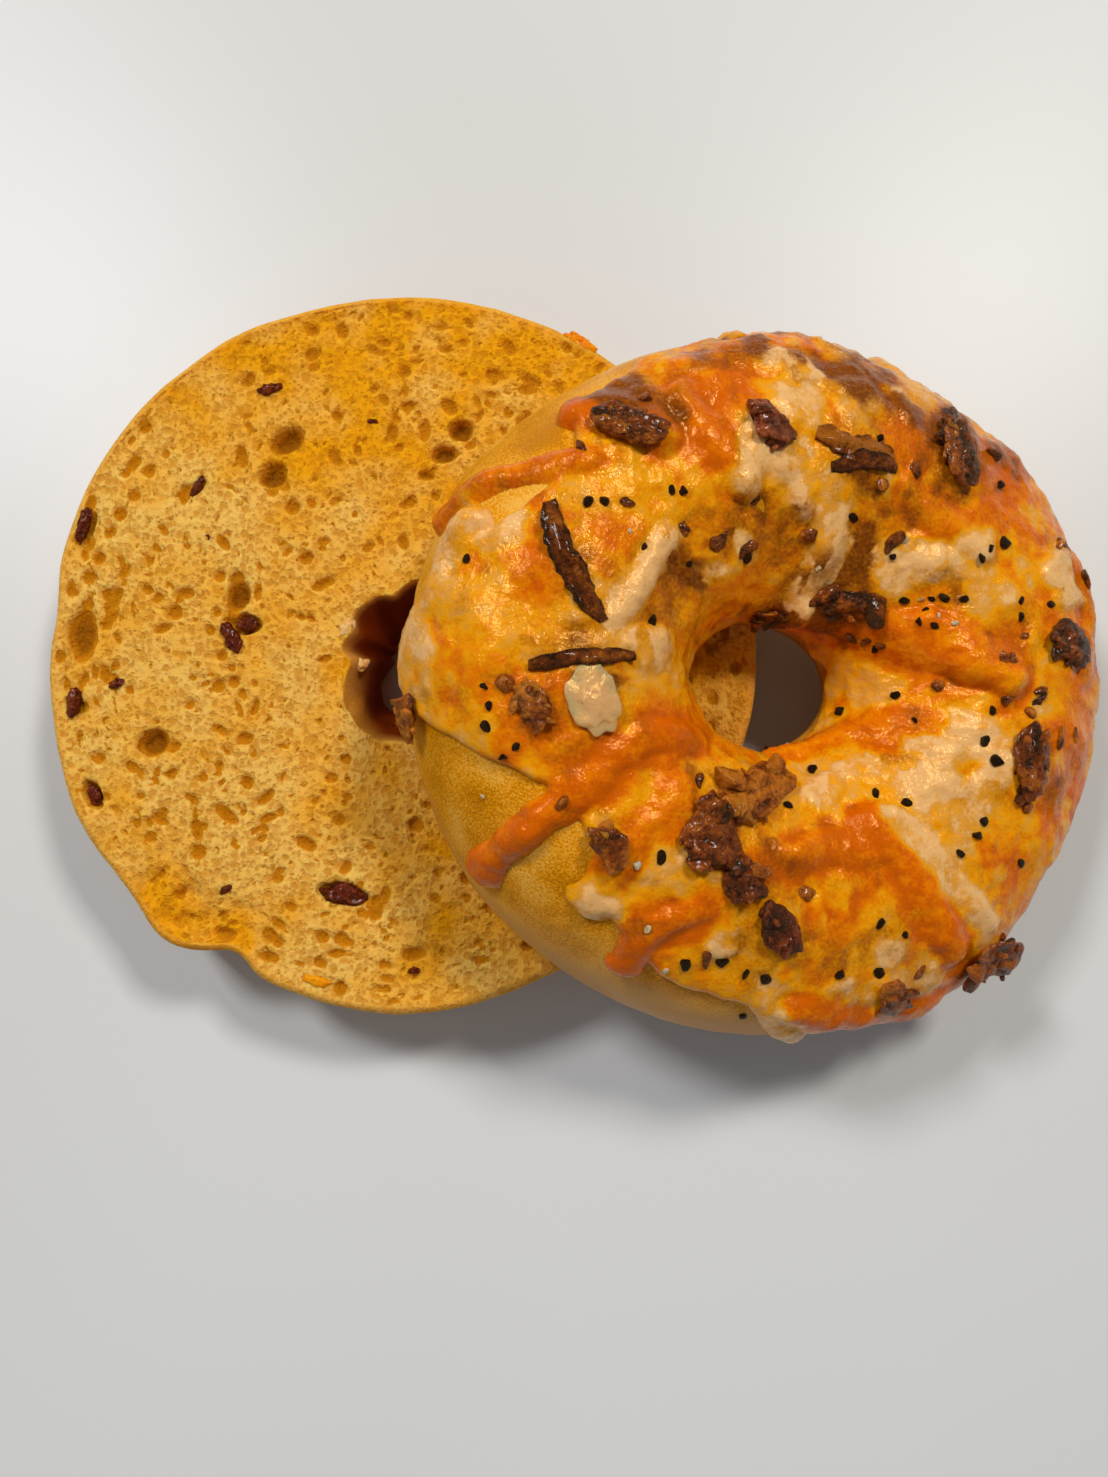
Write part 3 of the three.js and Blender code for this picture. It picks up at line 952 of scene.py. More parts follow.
        warm += 0.16 * rough_noise(points, 12, 71, 2) + 0.3 * torn
        for x, y, half in self.dense:
            warm -= 0.4 * np.exp(-(np.hypot(points[:, 0] - x, points[:, 1] - y) / half) ** 2)
        pale = 0.55 * step(points[:, 2], 3, 15) + 0.25 * soft_noise(points, 12, 81)
        shape = radius.shape
        # Painted shade over baked crust: the hole's walls go dark red-brown just below the cut,
        # more gradually on the softer south-west wall, and the base under the bread darkens too.
        soft_side = bell(places, 222, 28)
        baked = step(-reach, -24, -17) * step(-points[:, 2], -17.6, -16 + 8 * soft_side)
        baked += 0.5 * (points[:, 2] < 0.5)
        values = {"crumb": mask, "pore": inside, "pale": np.clip(pale, 0, 1)}
        values |= {"warm": warm, "baked": baked}
        values = {key: value.reshape(shape) for key, value in values.items()}
        piece = ring_object("lower_bread", points.reshape(*shape, 3), values)
        return dress(piece, self.bread, "crumb", "lower_half")

    def lay(
        self, bit: bpy.types.Object, place: tuple[float, float], turn: float, lift: float
    ) -> bpy.types.Object:
        """Lays a bit on the cut face.

        Args:
            bit: the bit, round the origin.
            place: (around, distance) from the ring centre.
            turn: turn of its length from +X, in degrees.
            lift: height of its middle over the face in mm.

        Returns:
            The bit.
        """
        around, distance = math.radians(place[0]), place[1]
        matrix = np.array(Matrix.Rotation(math.radians(turn), 4, "Z"))
        matrix[:3, 3] = (
            self.plan.centre[0] + distance * math.cos(around),
            self.plan.centre[1] + distance * math.sin(around),
            self.height + lift,
        )
        place_on(bit, matrix)
        return bit

    def build_bits(self) -> list[bpy.types.Object]:
        """Builds the dark bits that lie in the crumb and the cheese that stuck to its edges.

        Returns:
            The two dressed pieces.
        """
        dark, melted = [], []
        for index, (around, distance, length, width, turn, lift) in enumerate(self.dark_bits):
            size = (length, width, width * 0.8)
            bit = scrap(f"bit_{index}", size, 40 + index, detail=4, shade=0.35, wrinkle=0.22)
            dark.append(self.lay(bit, (around, distance), turn, lift - 0.3))
        for index, (*place, length, width, turn, lift, tint) in enumerate(self.cheese_bits):
            size = (length, width, 1.6)
            bit = scrap(f"drop_{index}", size, 60 + index, detail=4, shade=0.0, wrinkle=0.2)
            write_value(bit.data, "tint", np.full(len(bit.data.vertices), tint))
            write_value(bit.data, "toast", np.zeros(len(bit.data.vertices)))
            melted.append(self.lay(bit, place, turn, lift))
        return [
            dress(joined("dark_bits", dark), self.bits, None),
            dress(joined("cheese_drops", melted), self.cheese, "cheese"),
        ]


# ---------------------------------------------------------------- scraps


def round_start(name: str, detail: int) -> tuple[bmesh.types.BMesh, bpy.types.Mesh, np.ndarray]:
    """Makes the ball that a scrap or a chunk is shaped from.

    Args:
        name: the mesh's name.
        detail: how often the ball is subdivided.

    Returns:
        The bmesh, the mesh, and the ball's points round the origin, 1 from it.
    """
    shape = bmesh.new()
    bmesh.ops.create_icosphere(shape, subdivisions=detail, radius=1.0)
    mesh = bpy.data.meshes.new(name)
    shape.to_mesh(mesh)
    return shape, mesh, read_points(mesh) * MM


def scrap(
    name: str,
    size: tuple[float, float, float],
    seed: int,
    detail: int,
    shade: float,
    wrinkle: float = 0.3,
) -> bpy.types.Object:
    """Makes one crisp scrap: a ball that is flattened, bent and wrinkled.

    Args:
        name: the object's name.
        size: length, width and height in mm.
        seed: picks its shape.
        detail: how often the ball is subdivided.
        shade: how light it is, from 0 to 1.
        wrinkle: depth of its creases, as a share of its height.

    Returns:
        The new object, round the origin.
    """
    shape, mesh, ball = round_start(name, detail)
    half = np.array(size) / 2
    random = np.random.default_rng(seed)
    shift = random.uniform(0, 50, 3)
    lobes = 1 + 0.28 * soft_noise(ball * 2 + shift, 1.0, seed) * np.array([1, 1, 0.6])[:, None]
    points = ball * lobes.T * half
    reach = size[2] * wrinkle
    creases = 1 - 2 * np.abs(rough_noise(points + shift, max(1.1, size[1] * 0.34), seed + 1, 3))
    points += ball * (creases * reach * 0.55)[:, None]
    bend = random.uniform(-0.5, 0.5, 2)
    u, v = points[:, 0] / half[0], points[:, 1] / half[1]
    points[:, 2] += half[2] * (bend[0] * u * u + bend[1] * v * v - 0.2)
    write_points(mesh, points)
    # Painted light and shade: lighter on the crests of its wrinkles and towards its top, darker in
    # the folds.
    write_value(mesh, "shade", shade + 0.16 * creases + 0.1 * points[:, 2] / half[2])
    shape.clear()
    shape.from_mesh(mesh)
    return finish_mesh(name, shape, mesh)


def chunk(
    name: str,
    size: tuple[float, float, float],
    seed: int,
    detail: int,
    shade: float,
    grain: float = 0.24,
    facets: int = 11,
) -> bpy.types.Object:
    """Makes a broken, angular bit with worn edges, a fibrous grain and pits.

    Args:
        name: the object's name.
        size: length, width and height in mm.
        seed: picks its shape.
        detail: how often the ball it is cut from is subdivided.
        shade: how light it is, from 0 to 1.
        grain: depth of its grain in mm.
        facets: how many planes break it.

    Returns:
        The new object, round the origin.
    """
    shape, mesh, ball = round_start(name, detail)
    half = np.array(size) / 2
    random = np.random.default_rng(seed)
    planes = random.normal(size=(facets, 3))
    planes /= np.linalg.norm(planes, axis=1)[:, None]
    facing = np.maximum(ball @ planes.T, 0.05) / random.uniform(0.6, 1.0, facets)
    worn = np.minimum(1 / np.sum(facing**12, axis=1) ** (1 / 12), 1.25)
    shift = random.uniform(0, 50, 3)
    points = ball * worn[:, None] * half
    fibre = soft_noise(points * (0.3, 1, 1) + shift, 0.8, seed + 1)
    rough = soft_noise(points + shift, 1.1, seed + 2) + 0.6 * soft_noise(points, 0.5, seed + 3)
    pits = np.minimum(0.3 - np.abs(soft_noise(points + shift, 2.3, seed + 4)), 0)
    points += ball * (grain * (rough + 0.7 * fibre) + 0.9 * pits * min(size) * 0.3)[:, None]
    write_points(mesh, points)
    # Its colour darkens in its pits: painted shade.
    patchy = 0.4 * soft_noise(points + shift, 2.2, seed + 5) + 0.14 * rough + 0.1 * fibre
    write_value(mesh, "shade", shade + patchy + 0.5 * pits)
    shape.clear()
    shape.from_mesh(mesh)
    return finish_mesh(name, shape, mesh)


def ribbon(
    name: str, size: tuple[float, float, float], bend: float, seed: int, shade: float
) -> bpy.types.Object:
    """Makes a fried onion strip: a flat band that bows, twists and has frilled edges.

    Args:
        name: the object's name.
        size: length, width and height in mm.
        bend: how far it bows sideways, in mm.
        seed: picks its frills.
        shade: how light it is, from 0 to 1.

    Returns:
        The new object, round the origin.
    """
    shape = bmesh.new()
    bmesh.ops.create_grid(shape, x_segments=64, y_segments=16, size=0.5)
    slab = 0.05
    bmesh.ops.solidify(shape, geom=shape.faces[:], thickness=slab)
    mesh = bpy.data.meshes.new(name)
    shape.to_mesh(mesh)
    flat = read_points(mesh) * MM
    length, width, height = size
    t, across, side = flat[:, 0] + 0.5, flat[:, 1] * 2, flat[:, 2] / slab
    taper = np.clip(np.sin(np.pi * np.clip(t, 0.02, 0.98)) ** 0.2, 0.25, 1)
    line = np.stack([t * length, across * 2, 0 * t], 1)
    ragged = 1 + 0.24 * soft_noise(line + seed, 1.6, seed) + 0.16 * soft_noise(line, 0.7, seed + 1)
    points = np.zeros_like(flat)
    points[:, 0] = (t - 0.5) * length
    bow = 4 * t * (1 - t)
    roll = across * 0.5 * width * taper * ragged
    twist = 0.5 * soft_noise(np.stack([t * length + seed, 0 * t, 0 * t], 1), 5.0, seed + 2)
    points[:, 1] = roll * np.cos(twist) + bend * bow
    edge = np.abs(across) ** 3
    frill = 0.5 * edge * soft_noise(line * (1, 0.3, 1), 1.2, seed + 3)
    lift = -0.6 + 1.2 * bow + roll * np.sin(twist) + frill - 0.12 * height * (across**2)
    thick = height * (0.4 - 0.22 * edge)
    fibres = 0.2 * soft_noise(points * (0.25, 1, 1), 0.7, seed + 4)
    points[:, 2] = lift + side * thick + fibres + 0.16 * soft_noise(points, 1.4, seed + 9)
    write_points(mesh, points)
    charred = 0.3 * soft_noise(points, 1.9, seed + 5) + 0.14 * soft_noise(points, 0.8, seed + 6)
    write_value(mesh, "shade", shade + 0.2 - 0.5 * edge + charred)
    shape.clear()
    shape.from_mesh(mesh)
    bmesh.ops.recalc_face_normals(shape, faces=shape.faces)
    return finish_mesh(name, shape, mesh)


# ---------------------------------------------------------------- upper half

UPPER_PLAN = RingPlan(
    centre=(29.0, -5.8),
    radius=(56.0, 53.2),
    hole_centre=(-2.5, -0.3),
    hole_radius=(13.3, 10.0),
    bulges=((35, 14, 0.9), (150, 10, 1.2), (236, 18, -0.8), (340, 12, -1.0)),
)


@dataclass(frozen=True)
class Crown:
    """The rounded top of the upper half, and how that half leans."""

    plan: RingPlan = UPPER_PLAN
    height: float = 20.0
    side_round: float = 0.91  # exponents of the section, 1 is an ellipse
    crown_round: float = 0.85
    lean: float = 17.6
    lean_to: float = -8.0

    def point(
        self, around: np.ndarray, over: np.ndarray, lift: np.ndarray | float = 0.0
    ) -> np.ndarray:
        """Gives points on the crown or above it, before the half leans.

        Args:
            around: directions in degrees.
            over: degrees up from the outer cut edge.
            lift: heights over the crown in mm.

        Returns:
            The points in mm, from the ring centre.
        """
        around, over, lift = np.broadcast_arrays(
            np.asarray(around, float), np.asarray(over, float), np.asarray(lift, float)
        )
        outer, inner = self.plan.outer(around), self.plan.inner(around)
        c, s = np.cos(np.radians(over)), np.sin(np.radians(over))
        reach = (outer - inner) / 2 + lift
        radius = (outer + inner) / 2 + reach * np.sign(c) * np.abs(c) ** self.side_round
        z = (self.height + lift) * np.maximum(s, 0) ** self.crown_round
        turn = np.radians(around)
        return np.stack([radius * np.cos(turn), radius * np.sin(turn), z], -1)

    def leaned(self) -> np.ndarray:
        """Gives the matrix that leans the half on the rim of the lower one, in mm."""
        to = math.radians(self.lean_to)
        axis = Vector((-math.sin(to), math.cos(to), 0))
        matrix = np.array(Matrix.Rotation(math.radians(self.lean), 4, axis))
        rise = self.plan.radius[0] * math.sin(math.radians(self.lean)) + GAP
        matrix[:3, 3] = (*self.plan.centre, rise)
        return matrix

    def lie(self, points: np.ndarray) -> np.ndarray:
        """Leans points with the half."""
        matrix = self.leaned()
        return points @ matrix[:3, :3].T + matrix[:3, 3]

    def frame(self, place: Place, lift: float, turn: float) -> np.ndarray:
        """Gives the frame of something that lies on the crown.

        Args:
            place: where it lies.
            lift: height of its middle over the crown in mm.
            turn: turn of its length from the direction `over`, in degrees.

        Returns:
            A matrix in mm, leaned with the half.
        """
        around, over = place
        origin = self.point(around, over, lift)
        along_over = self.point(around, over + 1) - self.point(around, over - 1)
        along_ring = self.point(around + 1, over) - self.point(around - 1, over)
        z = np.cross(along_ring, along_over)
        z /= np.linalg.norm(z)
        if z @ (self.point(around, over, 1) - self.point(around, over)) < 0:
            z = -z
        turned = Matrix.Rotation(math.radians(turn), 3, Vector(z))
        x = np.array(turned @ Vector(along_over).normalized())
        matrix = np.eye(4)
        matrix[:3, :3] = np.stack([x, np.cross(z, x), z], 1)
        matrix[:3, 3] = origin
        return self.leaned() @ matrix


@dataclass
class UpperBread:
    """The bread under the toppings: golden crust, paler sides, and the cut face below."""

    bread: bpy.types.Material
    crown: Crown = field(default_factory=Crown)
    columns: int = 600
    over_steps: int = 104
    under_steps: int = 52
    heart_radius: float = 33.5  # the ring inside the bread that its skin swells away from
    heart_height: float = 6.0

    def build(self) -> bpy.types.Object:
        """Builds the bread of the upper half.

        Returns:
            The dressed piece.
        """
        plan = self.crown.plan
        around = np.linspace(0, 360, self.columns, endpoint=False)[:, None]
        over = np.linspace(0, 180, self.over_steps)[None, :]
        top = self.crown.point(around, over)
        share = np.linspace(0, 1, self.under_steps + 2)[None, 1:-1]
        inner, outer = plan.inner(around), plan.outer(around)
        radius = inner + 0.6 + (outer - inner - 1.2) * share
        turn = np.radians(around)
        under = np.stack([radius * np.cos(turn), radius * np.sin(turn), 0 * radius], -1)
        points = np.concatenate([top, under], axis=1)
        shape = points.shape[:2]
        crumb = np.zeros(shape)
        crumb[:, self.over_steps :] = 1
        pale = np.zeros(shape)
        places, overs = np.broadcast_to(around, top.shape[:2]), np.broadcast_to(over, top.shape[:2])
        pale[:, : self.over_steps] = self.paleness(places, overs, top)
        flat = points.reshape(-1, 3).copy()
        face = crumb.reshape(-1) > 0.5
        depth, inside = np.zeros(len(flat)), np.zeros(len(flat))
        depth[face], inside[face] = Crumb(plan, seed=23, count=1100).press(flat[face])
        flat[face, 2] += depth[face] + 0.25 * (1 + soft_noise(flat[face], 14, 25))
        skin = 0.3 * soft_noise(flat, 11, 26) + 0.08 * soft_noise(flat, 2.5, 27)
        body = np.stack([flat[:, 0], flat[:, 1], flat[:, 2] - self.heart_height], 1)
        middle = body.copy()
        reach = np.maximum(np.hypot(body[:, 0], body[:, 1]), 1)
        middle[:, :2] *= (self.heart_radius / reach)[:, None]
        middle[:, 2] = 0
        away = body - middle
        away /= np.maximum(np.linalg.norm(away, axis=1), 1)[:, None]
        flat += away * (skin * ~face)[:, None]
        warm = 0.1 + 0.12 * soft_noise(flat, 13, 28)
        # Painted shade over baked crust: the crust darkens a little down the wall of the hole.
        baked = np.zeros(shape)
        baked[:, : self.over_steps] = 0.35 * step(overs, 140, 175)
        values = {"crumb": crumb, "pore": inside, "pale": pale, "baked": baked, "warm": warm}
        piece = ring_object(
            "upper_bread",
            self.crown.lie(flat).reshape(*shape, 3),
            {key: value.reshape(shape) for key, value in values.items()},
        )
        return dress(piece, self.bread, "dough", "upper_half")

    def paleness(self, around: np.ndarray, over: np.ndarray, points: np.ndarray) -> np.ndarray:
        """Tells how pale the crust is: below the shoulders, most of all towards the south.

        Args:
            around: directions in degrees.
            over: degrees up from the outer cut edge.
            points: the points there, in mm.

        Returns:
            Paleness from 0 to 1.
        """
        ragged = 7 * soft_noise(points.reshape(-1, 3), 7, 29).reshape(around.shape)
        south = bell(around, 265, 38)
        east = bell(around, 332, 30)
        west = bell(around, 170, 45)
        level = 16 + 26 * south + 24 * east - 22 * west
        return step(level - over + ragged, -6, 8) * 0.95


class Kind(Enum):
    """The two cheeses, and the golden blends that they melt into; the value is its tint."""

    WHITE = 0.1
    BUTTER = 0.36
    GOLD = 0.5
    AMBER = 0.68
    ORANGE = 0.86
    DEEP = 1.0


@dataclass(frozen=True)
class Shred:
    """A shred of cheese that kept its round shape when it melted."""

    kind: Kind
    width: float
    places: tuple[Place, ...]
    toast: float = 0.0
    height: float = 1.0


@dataclass(frozen=True)
class Patch:
    """A soft patch of one colour in the melted sheet."""

    kind: Kind
    place: Place
    size: tuple[float, float]
    lift: float = 0.0
    toast: float = 0.0


SHREDS = (
    Shred(Kind.ORANGE, 4.6, ((158, 10), (152, 36), (143, 63)), 0.25),
    Shred(Kind.DEEP, 5.2, ((210, 21), (207, 54), (204, 80), (199, 102), (206, 128)), 0.12),
    Shred(Kind.DEEP, 4.8, ((238, 78), (233, 60), (235, 42)), 0.15),
    Shred(Kind.ORANGE, 4.4, ((256, 158), (290, 160), (318, 156), (338, 136))),
    Shred(Kind.DEEP, 5.6, ((244, 96), (258, 104), (272, 106), (288, 104)), 0.1),
    Shred(Kind.DEEP, 6.2, ((289, 112), (294, 98), (296, 80), (298, 60)), 0.1),
    Shred(Kind.ORANGE, 8.0, ((88, 152), (58, 152), (32, 138), (12, 116), (2, 98))),
    Shred(Kind.DEEP, 6.0, ((120, 64), (120, 80), (118, 95))),
    Shred(Kind.ORANGE, 5.0, ((66, 93), (51, 95), (37, 92))),
    Shred(Kind.ORANGE, 5.2, ((220, 70), (218, 87), (216, 103))),
    Shred(Kind.GOLD, 6.8, ((171, 28), (174, 55), (178, 76), (188, 92)), 0.0, 0.6),
    Shred(Kind.ORANGE, 4.6, ((24, 43), (12, 51), (2, 63)), 0.1),
    Shred(Kind.DEEP, 6.2, ((264, 50), (278, 40), (292, 33), (302, 40)), 0.1),
    Shred(Kind.DEEP, 6.0, ((135, 42), (131, 58), (129, 72)), 0.35),
    Shred(Kind.ORANGE, 5.0, ((116, 50), (107, 51), (98, 55)), 0.35),
    Shred(Kind.WHITE, 5.6, ((159, 35), (165, 27), (171, 24), (176, 14), (180, 7)), 0.0, 1.1),
    Shred(Kind.WHITE, 4.4, ((145, 99), (158, 101), (170, 96))),
    Shred(Kind.WHITE, 4.8, ((94, 99), (88, 112), (87, 127), (92, 144))),
    Shred(Kind.WHITE, 5.4, ((57, 116), (48, 112), (41, 104), (37, 92)), 0.0, 0.7),
    Shred(Kind.WHITE, 4.6, ((298, 112), (302, 96), (304, 80), (307, 60))),
    Shred(Kind.WHITE, 4.6, ((259, 52), (263, 42), (268, 31))),
    Shred(Kind.ORANGE, 3.5, ((193, 59), (187, 69), (186, 83), (191, 90), (196, 75)), 0.05),
    Shred(Kind.WHITE, 4.6, ((118, 97), (109, 88), (101, 96), (99, 107))),
    Shred(Kind.WHITE, 3.6, ((330, 98), (322, 104), (318, 116))),
)

LUMPS = (
    Patch(Kind.WHITE, (96, 62), (9, 7), 1.9),
    Patch(Kind.BUTTER, (82, 72), (10, 8), 1.9),
    Patch(Kind.WHITE, (176, 110), (8, 6), 1.7),
    Patch(Kind.WHITE, (326, 116), (10, 8), 1.9),
    Patch(Kind.WHITE, (223, 57), (7, 5.5), 1.7),
    Patch(Kind.WHITE, (20, 68), (10, 8), 1.9),
)

PATCHES = (
    Patch(Kind.WHITE, (101, 48), (8, 6), 0.4, 0.1),
    Patch(Kind.BUTTER, (115, 60), (7, 6), 0.3),
    Patch(Kind.WHITE, (112, 75), (7, 6), 0.3),
    Patch(Kind.WHITE, (97, 74), (9, 7), 0.3),
    Patch(Kind.BUTTER, (83, 70), (9, 7), 0.2),
    Patch(Kind.WHITE, (68, 95), (6, 4), 0.4),
    Patch(Kind.WHITE, (176, 109), (7, 6), 0.2),
    Patch(Kind.WHITE, (210, 107), (7, 5), 0.2),
    Patch(Kind.WHITE, (309, 132), (9, 6), 0.4),
    Patch(Kind.WHITE, (313, 115), (9, 7), 0.3),
    Patch(Kind.WHITE, (340, 108), (8, 8), 0.2),
    Patch(Kind.WHITE, (223, 58), (7, 6), 0.2),
    Patch(Kind.BUTTER, (231, 81), (7, 6), 0.2),
    Patch(Kind.WHITE, (160, 52), (7, 6), 0.1),
    Patch(Kind.BUTTER, (164, 52), (8, 6), 0.1),
    Patch(Kind.GOLD, (204, 90), (12, 10), -0.2),
    Patch(Kind.GOLD, (216, 113), (10, 8), -0.1),
    Patch(Kind.BUTTER, (257, 119), (10, 8), -0.1),
    Patch(Kind.BUTTER, (284, 117), (9, 8), -0.1),
    Patch(Kind.WHITE, (279, 135), (10, 4), 0.5),
    Patch(Kind.WHITE, (292, 122), (6, 5), 0.3),
    Patch(Kind.ORANGE, (347, 81), (7, 6), 0.2, 0.2),
    Patch(Kind.ORANGE, (345, 61), (8, 6), 0.2, 0.2),
    Patch(Kind.ORANGE, (338, 70), (7, 6), 0.1, 0.3),
    Patch(Kind.ORANGE, (18, 40), (12, 8), 0.2, 0.3),
    Patch(Kind.ORANGE, (5, 56), (10, 8), 0.1, 0.2),
    Patch(Kind.DEEP, (110, 62), (10, 7), 0.3),
    Patch(Kind.ORANGE, (88, 60), (9, 7), 0.2, 0.3),
    Patch(Kind.ORANGE, (60, 70), (12, 9), 0.1, 0.3),
    Patch(Kind.ORANGE, (190, 84), (14, 10), 0.0),
    Patch(Kind.GOLD, (250, 66), (12, 9), 0.0, 0.2),
    Patch(Kind.GOLD, (280, 75), (12, 9), 0.0, 0.15),
    Patch(Kind.ORANGE, (20, 128), (14, 9), 0.1),
    Patch(Kind.DEEP, (50, 148), (12, 7), 0.0),
    Patch(Kind.GOLD, (70, 110), (12, 9), -0.2),
    Patch(Kind.GOLD, (140, 72), (10, 8), -0.1),
    Patch(Kind.ORANGE, (200, 105), (14, 12), 0.1),
    Patch(Kind.GOLD, (172, 62), (14, 12), -0.1),
    Patch(Kind.ORANGE, (165, 66), (9, 6), 0.1),
    Patch(Kind.ORANGE, (177, 48), (8, 7), 0.1),
    Patch(Kind.ORANGE, (148, 88), (8, 7), 0.1),
    Patch(Kind.GOLD, (120, 104), (14, 9), -0.2, 0.1),
    Patch(Kind.AMBER, (108, 118), (14, 9), -0.2, 0.25),
    Patch(Kind.AMBER, (70, 138), (16, 10), -0.1, 0.45),
    Patch(Kind.AMBER, (100, 148), (14, 9), 0.0, 0.45),
    Patch(Kind.AMBER, (128, 52), (12, 7), 0.4, 0.45),
    Patch(Kind.AMBER, (75, 55), (14, 8), 0.3, 0.35),
    Patch(Kind.DEEP, (68, 78), (9, 6), 0.2),
    Patch(Kind.DEEP, (42, 84), (9, 6), 0.2),
    Patch(Kind.AMBER, (250, 100), (12, 8), 0.0, 0.1),
    Patch(Kind.AMBER, (268, 72), (9, 7), 0.1, 0.2),
    Patch(Kind.WHITE, (272, 58), (6, 4), 0.4),
    Patch(Kind.WHITE, (283, 70), (5, 4), 0.3),
    Patch(Kind.WHITE, (246, 72), (5, 4), 0.3),
    Patch(Kind.GOLD, (325, 60), (9, 7), 0.0, 0.15),
    Patch(Kind.ORANGE, (50, 90), (9, 7), 0.2),
    Patch(Kind.ORANGE, (18, 78), (9, 6), 0.1, 0.1),
    Patch(Kind.ORANGE, (349, 71), (9, 6), 0.1, 0.1),
    Patch(Kind.DEEP, (76, 115), (9, 8), 0.0, 0.15),
    Patch(Kind.BUTTER, (356, 150), (11, 7), 0.2),
    Patch(Kind.ORANGE, (323, 135), (6, 5), 0.2),
    Patch(Kind.AMBER, (84, 62), (10, 7), 0.2, 0.5),
    Patch(Kind.AMBER, (60, 56), (10, 7), 0.2, 0.5),
    Patch(Kind.AMBER, (46, 40), (12, 7), 0.2, 0.4),
    Patch(Kind.WHITE, (73, 63), (6, 4), 0.3),
    Patch(Kind.ORANGE, (121, 80), (8, 7), 0.2),
    Patch(Kind.WHITE, (337, 97), (7, 5), 0.3),
    Patch(Kind.AMBER, (141, 112), (17, 12), -0.3, 0.25),
    Patch(Kind.AMBER, (157, 127), (13, 9), -0.2, 0.25),
    Patch(Kind.AMBER, (122, 112), (12, 10), -0.2, 0.2),
    Patch(Kind.GOLD, (143, 83), (9, 7), -0.3),
    Patch(Kind.GOLD, (214, 93), (8, 6), -0.3),
    Patch(Kind.GOLD, (325, 84), (8, 6), -0.3),
    Patch(Kind.GOLD, (262, 112), (9, 7), -0.3),
    Patch(Kind.AMBER, (160, 110), (10, 8), -0.2, 0.25),
    Patch(Kind.DEEP, (73, 77), (12, 9), 0.0, 0.2),
    Patch(Kind.DEEP, (47, 61), (13, 9), 0.1, 0.2),
    Patch(Kind.ORANGE, (97, 46), (13, 7), 0.1, 0.2),
    Patch(Kind.BUTTER, (114, 90), (7, 5), 0.0, 0.35),
    Patch(Kind.AMBER, (38, 113), (9, 6), -0.1, 0.3),
    Patch(Kind.AMBER, (170, 98), (10, 6), -0.1, 0.15),
    Patch(Kind.AMBER, (148, 100), (9, 7), -0.2, 0.25),
    Patch(Kind.AMBER, (64, 104), (8, 6), -0.2, 0.25),
    Patch(Kind.AMBER, (55, 92), (9, 6), -0.1, 0.25),
    Patch(Kind.AMBER, (12, 96), (10, 7), -0.2, 0.3),
    Patch(Kind.AMBER, (72, 120), (9, 7), -0.2, 0.3),
    Patch(Kind.WHITE, (178, 14), (10, 7), 0.5),
    Patch(Kind.WHITE, (170, 26), (9, 6), 0.4),
    Patch(Kind.WHITE, (278, 52), (9, 5), 0.4),
    Patch(Kind.WHITE, (262, 58), (7, 5), 0.4),
    Patch(Kind.WHITE, (292, 52), (7, 4), 0.4),
    Patch(Kind.WHITE, (140, 122), (5, 3), 0.1),
    Patch(Kind.WHITE, (124, 119), (5, 3), 0.1),
)


class Crisp(Enum):
    """What a crisp piece is; the value names its finish."""

    BACON = "bacon"
    ROSE = "rose"
    DARK = "dark"
    ONION = "onion"
    PALE = "pale"


@dataclass(frozen=True)
class Piece:
    """One crisp piece as large as a berry, where its CAD node is."""

    name: str
    place: Place
    size: tuple[float, float, float]
    turn: float
    kind: Crisp
    shade: float = 0.45
    bend: float | None = None
    rise: float = 0.14  # share of its height by which its middle stands over the cheese


